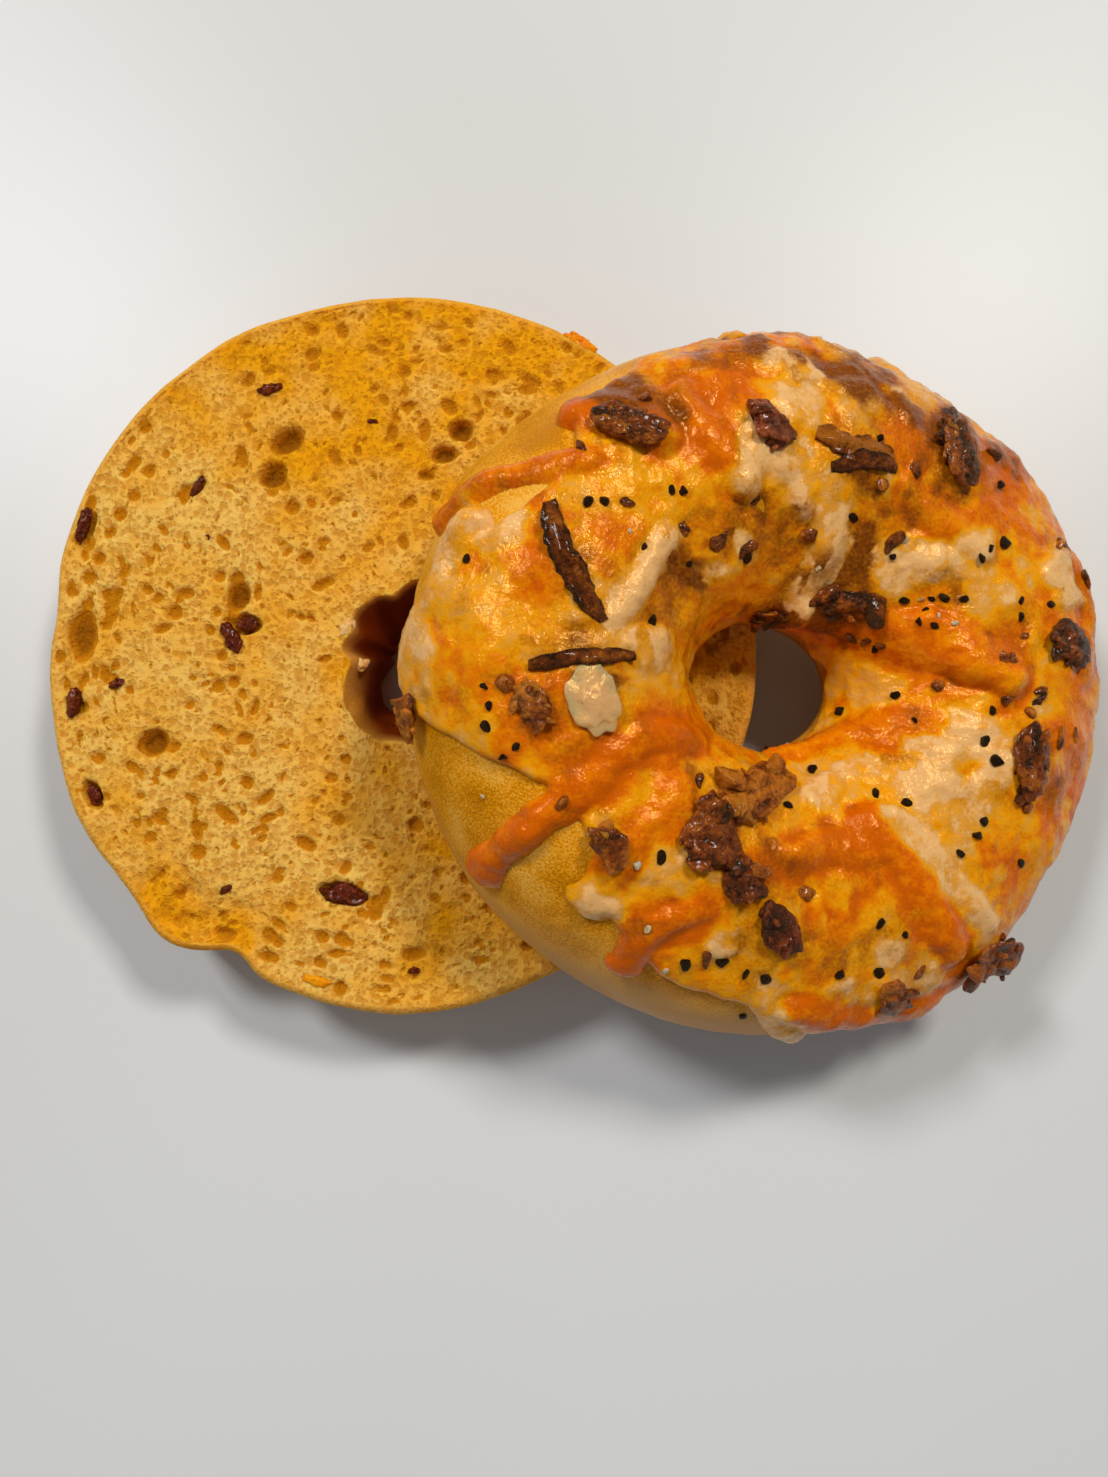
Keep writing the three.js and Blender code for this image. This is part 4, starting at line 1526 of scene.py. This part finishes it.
PIECES = (
    Piece("onion_strip_long", (161, 80), (17.2, 3.8, 2.4), -46, Crisp.ONION, 0.3, -1.4),
    Piece("onion_strip_thin", (180, 88), (14.4, 2.2, 2.0), 7, Crisp.ONION, 0.3, 0.4),
    Piece("onion_strip_north", (84, 88), (12.6, 3.4, 1.4), 84, Crisp.ONION, 0.8, -0.6),
    Piece("onion_strip_north", (81, 93), (10.4, 2.8, 2.0), 104, Crisp.ONION, 0.15, 0.8),
    Piece("bacon_pink", (107, 83), (8.4, 6.6, 3.0), 50, Crisp.ROSE, 0.65),
    Piece("bacon_north_east", (58, 74), (10.0, 7.4, 3.2), 40, Crisp.BACON, 0.4),
    Piece("bacon_north_west", (133, 64), (9.6, 6.4, 3.4), 26, Crisp.BACON, 0.4),
    Piece("bacon_east", (9, 76), (9.6, 6.6, 3.6), -28, Crisp.DARK, 0.35),
    Piece("bacon_south_east", (339, 88), (10.6, 6.0, 3.4), -80, Crisp.DARK, 0.4),
    Piece("bacon_west_rim", (187, 12), (7.0, 6.4, 4.0), 30, Crisp.BACON, 0.65, rise=0.5),
    Piece("bacon_west", (188, 70), (7.8, 4.8, 2.8), 110, Crisp.BACON, 0.7),
    Piece("bacon_south_west", (215, 75), (7.4, 4.6, 3.2), 75, Crisp.BACON, 0.65),
    Piece("bacon_heap_left", (229, 97), (11.4, 9.6, 4.2), 34, Crisp.DARK, 0.5),
    Piece("bacon_heap_right", (236, 121), (14.4, 8.8, 4.2), -27, Crisp.BACON, 0.7),
    Piece("bacon_heap_low", (243, 91), (7.4, 6.2, 3.6), 34, Crisp.DARK, 0.45),
    Piece("bacon_south", (256, 81), (8.2, 5.8, 3.4), 60, Crisp.ROSE, 0.3),
    Piece("bacon_south_rim", (284, 50), (7.8, 5.6, 3.2), 10, Crisp.BACON, 0.6),
    Piece("bacon_overhang", (305, 44), (11.4, 9.8, 5.2), 50, Crisp.DARK, 0.55),
    Piece("onion_hole_edge", (109, 157), (7.8, 4.4, 2.6), 80, Crisp.BACON, 0.35),
    Piece("onion_pale", (188, 90), (9.0, 6.2, 1.3), 100, Crisp.PALE, 0.5),
    Piece("bacon_hole_rim", (62, 140), (12.6, 4.6, 2.8), 122, Crisp.BACON, 0.3),
)


@dataclass
class MeltedCheese:
    """One skin of melted cheese over the crown, with shreds, lumps and drips."""

    cheese: bpy.types.Material
    crown: Crown = field(default_factory=Crown)
    thickness: float = 1.1
    edge: float = 46.0
    hole_edge: float = 168.0
    edge_bulges: tuple = (
        (20, 30, -14),
        (80, 50, -26),
        (150, 16, 18),
        (178, 16, -50),
        (207, 17, 30),
        (285, 18, -10),
        (300, 13, -22),
    )
    hole_edge_bulges: tuple = ((200, 60, -12), (0, 60, 9))
    columns: int = 590
    rows: int = 164
    first_over: float = 1.5  # where the skin starts and ends, in degrees of `over`
    last_over: float = 176.0
    mm_per_degree: float = 0.47  # length of the section that one degree of `over` takes
    sunk: float = 0.7  # depth of the skin under the crust where there is no cheese
    line_step: float = 0.7  # distance of the points on the line of a shred
    marble: float = 0.24  # how much orange is marbled into the white cheese
    melt: float = 0.4  # how softly shreds and lumps run into the sheet
    smoothing: int = 5  # reach of the average that tells hollows from ridges
    most_toast: float = 0.75

    def curve(self, places: tuple[Place, ...]) -> np.ndarray:
        """Draws a smooth line through places of the crown.

        Args:
            places: the places.

        Returns:
            Points on the line, about `line_step` apart.
        """
        knots = np.array([self.crown.point(*place) for place in places])
        ends = [2 * knots[0] - knots[1], 2 * knots[-1] - knots[-2]]
        knots = np.concatenate([ends[:1], knots, ends[1:]])
        line = []
        for a, b, c, d in zip(knots, knots[1:], knots[2:], knots[3:]):
            steps = max(3, int(np.linalg.norm(c - b) / self.line_step))
            t = np.linspace(0, 1, steps)[:, None]
            line.append(
                0.5 * (2 * b + (c - a) * t + (2 * a - 5 * b + 4 * c - d) * t**2)
                + 0.5 * (3 * b - a - 3 * c + d) * t**3
            )
        return np.concatenate(line)

    def shred_height(
        self, shred: Shred, points: np.ndarray, seed: int
    ) -> tuple[np.ndarray, np.ndarray]:
        """Works out how high a shred stands over each point of the crown, and what it tints.

        Args:
            shred: the shred.
            points: points of the crown in mm.
            seed: picks how its width wanders.

        Returns:
            Height in mm, far below zero away from the shred, and its share of the colour.
        """
        height, share = np.full(len(points), FAR_BELOW), np.zeros(len(points))
        line = self.curve(shred.places)
        low, high = line.min(0) - shred.width, line.max(0) + shred.width
        near = np.flatnonzero(np.all((points > low) & (points < high), axis=1))
        apart = np.min(np.linalg.norm(points[near][:, None, :] - line[None, :, :], axis=2), axis=1)
        wander = soft_noise(points[near], 4.5, seed)
        apart = apart * (1 + 0.3 * wander) + 0.3 * soft_noise(points[near], 1.8, seed + 9)
        radius = shred.width / 2 * 1.05
        melt = shred.height * (0.82 + 0.36 * soft_noise(points[near], 6, seed + 40))
        dome = np.sqrt(np.maximum(radius**2 - apart**2, 0)) * melt
        middle = GAP - 0.12 * shred.width
        height[near] = middle + np.where(apart < radius, dome, -(apart - radius) * 1.6)
        bleed = 0.35 * soft_noise(points[near], 2.2, seed + 80)
        share[near] = step(-(apart / radius) + bleed, -1.55, -0.65)
        return height, share

    def patch_share(self, patch: Patch, points: np.ndarray) -> np.ndarray:
        """Tells how much each point belongs to a patch.

        Args:
            patch: the patch.
            points: points of the crown in mm.

        Returns:
            Its share of each point, from 0 to 1.
        """
        away = points - self.crown.point(*patch.place)
        near = np.flatnonzero(np.sum(away**2, axis=1) < (max(patch.size) + 3) ** 2)
        turn = patch.place[0] * 3
        frame_here = np.linalg.inv(self.crown.leaned()) @ self.crown.frame(patch.place, 0, turn)
        local = away[near] @ frame_here[:3, :3]
        wide = np.hypot(local[:, 0] / patch.size[0] * 2, local[:, 1] / patch.size[1] * 2)
        ragged = 0.34 * rough_noise(points[near], 3.4, int(patch.place[0]), 2)
        share = np.zeros(len(points))
        share[near] = step(-(wide + 1.6 * ragged), -1.5, -0.55)
        return share

    def build(self) -> bpy.types.Object:
        """Builds the skin as a height over the crown, tinted by the cheese that is on top.

        Returns:
            The dressed piece.
        """
        around = np.linspace(0, 360, self.columns, endpoint=False)[:, None]
        over = np.linspace(self.first_over, self.last_over, self.rows)[None, :]
        shape = (self.columns, self.rows)
        places, overs = (np.broadcast_to(x, shape).reshape(-1) for x in (around, over))
        base = self.crown.point(places, overs)
        start = self.edge + bulge(self.edge_bulges, places)
        end = self.hole_edge + bulge(self.hole_edge_bulges, places)
        inside = np.minimum(overs - start, end - overs) * self.mm_per_degree
        inside += 1.6 * soft_noise(base, 7, 101) + 1.0 * soft_noise(base, 3, 102)
        film = np.sqrt(1 - (1 - np.clip(inside / 2.4, 0, 1)) ** 2)
        sheet = -self.sunk + (self.sunk + GAP + self.thickness * 0.75) * film
        curds = np.abs(soft_noise(base, 2.9, 105)) + 0.5 * np.abs(soft_noise(base, 1.5, 119))
        relief = 0.45 * soft_noise(base, 6, 104) - 0.4 * np.abs(soft_noise(base, 4.5, 116))
        rim = step(-overs, -62, -40) * bell(places, 90, 52)
        relief += rim * (1.2 * np.abs(soft_noise(base, 5, 121)) - 0.2)
        sheet += (relief + (0.12 + 0.4 * rim) * curds) * film
        tint = 0.62 + 0.26 * soft_noise(base, 9, 106) - 0.1 * curds
        marbling = step(rough_noise(base, 3.2, 108, 3), 0.1, 0.3)
        veins = self.marble * marbling
        for size, amount in ((4.2, 0.14), (2.1, 0.05)):
            blotches = rough_noise(base, size, 107, 2)
            tint += amount * (2 * step(blotches, -0.22, 0.22) - 1)
        veil = step(soft_noise(base, 4.6, 117) + 0.5 * soft_noise(base, 2, 118), 0.42, 0.6)
        tint += 0.55 * veil * (0.2 - tint)
        toast = np.zeros(len(base))
        # The cheese rises round each crisp piece and is browner there.
        for crisp in PIECES:
            away = np.linalg.norm(base - self.crown.point(*crisp.place), axis=1)
            nest = np.exp(-((away / (0.55 * crisp.size[0])) ** 2))
            sheet += 0.8 * nest * film
            toast += 0.4 * nest * (0.7 + 0.6 * soft_noise(base, 2.2, 109))
        for patch in PATCHES:
            share = self.patch_share(patch, base)
            sheet += patch.lift * share * film
            veined = veins if patch.kind is Kind.WHITE else 0.0
            shade = patch.kind.value + veined + 0.1 * rough_noise(base, 2.5, 110, 2)
            tint += share * (shade - tint)
            toast += share * patch.toast
        heights = [sheet]
        for index, shred in enumerate(SHREDS):
            height, share = self.shred_height(shred, base, 120 + index)
            heights.append(height)
            veined = veins if shred.kind is Kind.WHITE else 0.0
            shade = shred.kind.value + veined + 0.1 * rough_noise(base, 3, 111, 2)
            tint += share * (shade - tint)
            toast += share * shred.toast * (0.5 + 0.6 * soft_noise(base, 3, 112))
        for lump in LUMPS:
            share = self.patch_share(lump, base)
            dome = -0.5 + (lump.lift + 0.5) * share**0.6
            heights.append(np.where(share > 0, dome, FAR_BELOW))
            tint += share * (lump.kind.value + 0.3 * marbling - tint)
        browning = 1 - 0.75 * step(-tint, -0.42, -0.2)  # the palest cheese toasts least
        toast *= browning
        top = self.melt * np.logaddexp.reduce(np.stack(heights) / self.melt, axis=0)
        north = bell(places, 95, 55) * step(-overs, -80, -45)
        blister = step(soft_noise(base, 2.4, 115), 0.3, 0.75) * (0.25 + 0.2 * north)
        blister *= browning
        toast += blister + 0.4 * north * (0.5 + soft_noise(base, 3, 113))
        toast += 0.2 * step(soft_noise(base, 5.5, 122), 0.15, 0.7)
        hollow = blurred(top.reshape(shape), self.smoothing).reshape(-1) - top
        full = step(blurred(film.reshape(shape), self.smoothing).reshape(-1), 0.9, 1)
        # Painted shade and light: hollows go browner and a deeper orange, ridges paler and
        # yellower.
        toast += 0.25 * step(hollow, 0.1, 0.7) * full
        tint += 0.25 * np.clip(hollow / 0.6, -1, 1) * full
        wrinkles = 0.14 * soft_noise(base, 1.3, 114) + 0.07 * soft_noise(base, 0.7, 120)
        top = top + wrinkles * (top > 0)
        points = self.crown.point(places, overs, top).reshape(*shape, 3)
        back = np.array([[self.last_over, 120, 60, self.first_over]])
        under = self.crown.point(around, back, -2.2)
        points = np.concatenate([points, under], axis=1)
        pad = ((0, 0), (0, under.shape[1]))
        values = {"tint": tint, "toast": np.clip(toast, 0, self.most_toast)}
        values = {key: np.pad(value.reshape(shape), pad) for key, value in values.items()}
        flat = self.crown.lie(points.reshape(-1, 3))
        piece = ring_object("melted_cheese", flat.reshape(points.shape), values)
        self.heights = top.reshape(shape)
        return dress(piece, self.cheese, "cheese", "cheese")

    def top_at(self, place: Place) -> float:
        """Reads how high the built cheese stands, or 0 where the crust is bare.

        Args:
            place: where on the crown.

        Returns:
            The height over the crown in mm.
        """
        column = int(round(place[0] / 360 * self.columns)) % self.columns
        share = (place[1] - self.first_over) / (self.last_over - self.first_over)
        row = min(max(int(round(share * (self.rows - 1))), 0), self.rows - 1)
        return max(float(self.heights[column, row]), 0.0)


# ---------------------------------------------------------------- crisp pieces


@dataclass
class CrispPieces:
    """Crumbled bacon and fried onion that lie on the cheese."""

    finishes: dict[str, bpy.types.Material]
    cheese: MeltedCheese
    crown: Crown = field(default_factory=Crown)
    bits: int = 12  # how many bits lie round a broken piece
    large_bits: int = 4  # how many of them are large, the others being crumbs

    def crumbled(self, piece: Piece, seed: int) -> bpy.types.Object:
        """Builds a heap of bacon: one broken bit with smaller ones and crumbs round it.

        Args:
            piece: what it is.
            seed: picks its bits.

        Returns:
            The joined heap, round the origin.
        """
        random = np.random.default_rng(seed)
        length, width, height = piece.size
        body = (length * 0.92, width * 0.86, height * 0.7)
        bits = [chunk("body", body, seed * 31, detail=5, shade=piece.shade, grain=0.34)]
        for index in range(self.bits):
            large = index < self.large_bits
            share = random.uniform(0.28, 0.42) if large else random.uniform(0.08, 0.16)
            bit_size = np.array([1, random.uniform(0.5, 0.8), random.uniform(0.35, 0.6)])
            bit_size *= max(length * share, 1.0)
            shade = piece.shade + random.uniform(-0.3, 0.3)
            detail = 4 if large else 3
            bit = chunk(f"bit_{index}", tuple(bit_size), seed * 31 + index, detail, shade, 0.16)
            away, turn = 0.42 * random.uniform(0.4, 1) ** 0.6, random.uniform(0, math.tau)
            lean = Matrix.Rotation(random.uniform(0, math.pi), 4, "Z")
            for axis in "XY":
                lean = Matrix.Rotation(random.uniform(-0.6, 0.6), 4, axis) @ lean
            matrix = np.array(lean)
            rise = random.uniform(-0.15, 0.2) if large else random.uniform(-0.3, 0.25)
            matrix[:3, 3] = (
                away * length * math.cos(turn),
                away * width * math.sin(turn),
                rise * height,
            )
            place_on(bit, matrix)
            bits.append(bit)
        return joined(piece.name, bits)

    def build(self) -> list[bpy.types.Object]:
        """Builds every crisp piece on its place.

        Returns:
            The dressed pieces, one for each CAD node.
        """
        bodies = {}
        for seed, piece in enumerate(PIECES, start=1):
            if piece.kind is Crisp.PALE:
                body = scrap(piece.name, piece.size, seed, 5, piece.shade, wrinkle=0.2)
            elif piece.bend is None:
                body = self.crumbled(piece, seed)
            else:
                body = ribbon(piece.name, piece.size, piece.bend, seed, piece.shade)
            lift = self.cheese.top_at(piece.place) + piece.size[2] * piece.rise
            place_on(body, self.crown.frame(piece.place, lift, piece.turn))
            bodies.setdefault((piece.name, piece.kind), []).append(body)
        made = []
        for (node, kind), parts in bodies.items():
            slot = "onion" if node.startswith("onion") else "bacon"
            whole = joined(node + "_crisp", parts)
            made.append(dress(whole, self.finishes[kind.value], slot, node))
        return made


@dataclass
class Seasoning:
    """Cracked pepper, brown crumbs and flakes, and pale crumbs, on the topped half."""

    pepper: bpy.types.Material
    brown: bpy.types.Material
    pale: bpy.types.Material
    cheese: MeltedCheese
    crown: Crown = field(default_factory=Crown)
    flakes: tuple[Place, ...] = (
        ((150, 75), (148, 79), (136, 89), (134, 91), (151, 96), (165, 40), (146, 113))
        + ((167, 111), (126, 123), (184, 54), (187, 55), (190, 53), (195, 56), (194, 62))
        + ((78, 84), (80, 109), (58, 116), (40, 125), (34, 117), (32, 113), (32, 121))
        + ((29, 125), (24, 121), (28, 107), (21, 89), (18, 78), (17, 90), (23, 145))
        + ((45, 68), (35, 84), (37, 91), (36, 95), (352, 140), (337, 163), (340, 130))
        + ((351, 103), (341, 103), (336, 97), (275, 143), (297, 123), (305, 114))
        + ((252, 121), (250, 161), (316, 90), (320, 91), (309, 90), (320, 69), (224, 84))
        + ((242, 57), (248, 63), (253, 62), (257, 62), (272, 66), (281, 63), (282, 82))
        + ((287, 76), (258, 38))
    )
    brown_bits: tuple[Place, ...] = (
        ((62, 111), (6, 98), (358, 124), (140, 101), (127, 59), (352, 90), (346, 87))
        + ((92, 166), (30, 146), (24, 142), (38, 150), (66, 88), (74, 96), (226, 100))
        + ((238, 112), (205, 70), (262, 92), (246, 90), (330, 80), (12, 90), (142, 60))
        + ((188, 74), (184, 62), (290, 58), (300, 45), (28, 60), (50, 60))
    )
    brown_flakes: tuple[Place, ...] = (
        ((140, 101), (115, 103), (124, 120), (61, 112), (133, 112), (145, 84), (62, 54))
        + ((245, 62), (28, 53), (356, 87), (348, 77), (6, 98), (96, 118), (20, 48))
        + ((61, 54), (60, 76), (26, 50), (6, 101), (350, 68), (355, 98))
        + ((358, 87), (332, 86), (217, 112))
    )
    pale_bits: tuple[Place, ...] = (
        ((212, 72), (222, 77), (297, 180), (27, 118), (36, 120), (22, 114), (58, 108))
        + ((232, 62), (200, 40), (150, 90), (90, 130), (240, 50))
    )
    flake_size: float = 3.0  # grains longer than this are thin and have more faces

    def scatter(
        self, name: str, places: tuple[Place, ...], size: float, seed: int, shade: float
    ) -> bpy.types.Object:
        """Builds a joined mesh of small angular grains on the cheese.

        Args:
            name: the piece's name.
            places: where they lie.
            size: their usual length in mm.
            seed: picks their sizes and turns.
            shade: how light they are, from 0 to 1.

        Returns:
            The joined piece.
        """
        random = np.random.default_rng(seed)
        slim, detail = (0.5, 4) if size > self.flake_size else (1.0, 3)
        grains = []
        for index, place in enumerate(places):
            length = size * random.uniform(0.65, 1.3)
            thick = length * random.uniform(0.4, 0.7) * slim
            shape = (length, length * random.uniform(0.55, 0.95) * slim**0.5, thick)
            called = f"{name}_{index}"
            grain = chunk(called, shape, seed + index, detail, shade, 0.06 * size, facets=7)
            lift = self.cheese.top_at(place) + 0.15 * thick
            place_on(grain, self.crown.frame(place, lift, random.uniform(0, 180)))
            grains.append(grain)
        return joined(name, grains)

    def build(self) -> list[bpy.types.Object]:
        """Builds the four kinds of grain.

        Returns:
            The dressed pieces.
        """
        # Name, places, usual length in mm, seed, lightness, material and slot.
        kinds = (
            ("cracked_pepper", self.flakes, 1.5, 500, 0.4, self.pepper, None),
            ("brown_crumbs", self.brown_bits, 1.9, 700, 0.5, self.brown, "bacon"),
            ("brown_flakes", self.brown_flakes, 3.1, 800, 0.45, self.brown, "bacon"),
            ("pale_crumbs", self.pale_bits, 1.0, 900, 0.6, self.pale, None),
        )
        return [dress(self.scatter(*grains), stuff, slot) for *grains, stuff, slot in kinds]


# ---------------------------------------------------------------- studio


@dataclass
class Lamp:
    """A soft lamp: where it stands and how wide it is in metres, and how strong, in watts."""

    name: str
    spot: tuple[float, float, float]
    width: float
    power: float
    colour: str


@dataclass
class Studio:
    """Pale table, soft lamps and the camera."""

    table: bpy.types.Material
    lamps: tuple[Lamp, ...] = (
        Lamp("key", (0.42, 0.5, 0.9), 0.18, 6.3, "#fffaf4"),
        Lamp("left", (-0.5, 0.5, 0.9), 0.22, 6.1, "#fdfdff"),
        Lamp("low", (-0.3, -0.8, 0.9), 0.6, 0.6, "#f4f6ff"),
    )
    table_half: float = 1.5  # in metres
    camera_at: tuple[float, float, float] = (-3.5, -31.9, 189.95)
    looks_at: tuple[float, float, float] = (-3.5, -11.9, 0.0)
    lens: float = 27.055
    sky: float = 0.18

    def build(self) -> None:
        """Builds the table, lamps, sky and camera."""
        shape = bmesh.new()
        bmesh.ops.create_grid(shape, x_segments=4, y_segments=4, size=self.table_half)
        table = finish_mesh("table", shape, bpy.data.meshes.new("table"))
        table.data.materials.append(self.table)
        for lamp in self.lamps:
            light = bpy.data.lights.new(lamp.name, "AREA")
            light.energy, light.size = lamp.power, lamp.width
            light.color = linear(lamp.colour)[:3]
            holder = bpy.data.objects.new(lamp.name, light)
            holder.location = lamp.spot
            holder.rotation_euler = (-Vector(lamp.spot)).to_track_quat("-Z", "Y").to_euler()
            bpy.context.scene.collection.objects.link(holder)
        world = bpy.data.worlds.new("sky")
        world.use_nodes = True
        background = world.node_tree.nodes["Background"]
        background.inputs["Color"].default_value = linear("#e9edf2")
        background.inputs["Strength"].default_value = self.sky
        bpy.context.scene.world = world
        camera = bpy.data.objects.new("camera", bpy.data.cameras.new("camera"))
        camera.data.lens, camera.data.sensor_width = self.lens, 36.0
        camera.data.clip_start = 0.01
        camera.location = Vector(self.camera_at) * MM
        sight = Vector(self.looks_at) - Vector(self.camera_at)
        camera.rotation_euler = sight.to_track_quat("-Z", "Y").to_euler()
        bpy.context.scene.collection.objects.link(camera)
        bpy.context.scene.camera = camera
        bpy.context.scene.view_settings.view_transform = "Standard"


def main() -> None:
    """Builds the studio and then the bagel, piece by piece."""
    logging.basicConfig(level=logging.INFO, format="%(name)s: %(message)s")
    # Matt-satin laminate: almost white, and the only surface with an untinted shine.
    table = TableFinish("satin laminate", roughness=0.42, subsurface=0.0, glint="#ffffff")
    Studio(table.material()).build()
    # Wheat crumb: light sinks in, and almost nothing shines.
    bread = BreadFinish(
        "baked wheat bread", roughness=0.6, subsurface=0.55, depth_mm=1.8, gloss=0.04
    )
    # Dried tomato skin: thin, dark red and shiny.
    tomato = CrispFinish(
        "dried tomato skin", 0.32, 0.2, 0.8, 0.2, 0.5, "#2a0604", "#6a1a08", "#a5481c"
    )
    # Melted cheddar: waxy orange and cream, wet with its own fat.
    cheddar = CheeseFinish(
        "melted cheddar", roughness=0.3, subsurface=0.5, depth_mm=1.2, gloss=0.42
    )
    cheese = cheddar.material()
    lower = LowerHalf(bread.material(), tomato.material(), cheese)
    lower.build_bread()
    lower.build_bits()
    # Egg-washed crust: golden, with a faint oily sheen.
    dough = BreadFinish(
        "egg-washed crust", roughness=0.5, subsurface=0.4, depth_mm=1.5, gloss=0.14
    )
    UpperBread(dough.material()).build()
    melted = MeltedCheese(cheese)
    melted.build()
    # Fried things: greasy highlights over brown, darkest where they charred. After its name, each
    # gives roughness, subsurface, its depth in mm, coat, gloss, and dark, middle and light colour.
    crisp = {
        "bacon": CrispFinish("crumbled bacon", 0.36, 0.4, 1.5, 0.25, 0.8),
        "rose": CrispFinish(
            "lean bacon", 0.34, 0.3, 1.2, 0.3, 0.8, "#300804", "#6e2208", "#b0562a"
        ),
        "dark": CrispFinish(
            "charred bacon", 0.36, 0.25, 1.2, 0.25, 0.8, "#240904", "#7e3208", "#c0681a"
        ),
        "onion": CrispFinish(
            "fried onion", 0.38, 0.2, 0.8, 0.15, 0.6, "#260a02", "#743006", "#b86814"
        ),
        # Soft onion: pale, translucent and smooth, so light goes deep into it.
        "pale": CheeseFinish("soft onion", 0.3, 0.8, 2.5, 0.0, 0.5, cream="#dcaa70"),
    }
    finishes = {key: finish.material() for key, finish in crisp.items()}
    CrispPieces(finishes, melted).build()
    # Cracked black pepper: black husk, with grey where a corn is broken.
    pepper = CrispFinish(
        "cracked black pepper", 0.45, 0.0, 0.5, 0.0, 0.4, "#060504", "#120d0a", "#2a2119"
    )
    # Pale crumbs: dry and matt.
    pale = CrispFinish(
        "pale crumbs", 0.6, 0.3, 0.8, 0.0, 0.3, "#b98f52", "#e2c390", "#f6e6c6"
    )
    Seasoning(pepper.material(), finishes["bacon"], pale.material(), melted).build()


if __name__ == "__main__":
    main()
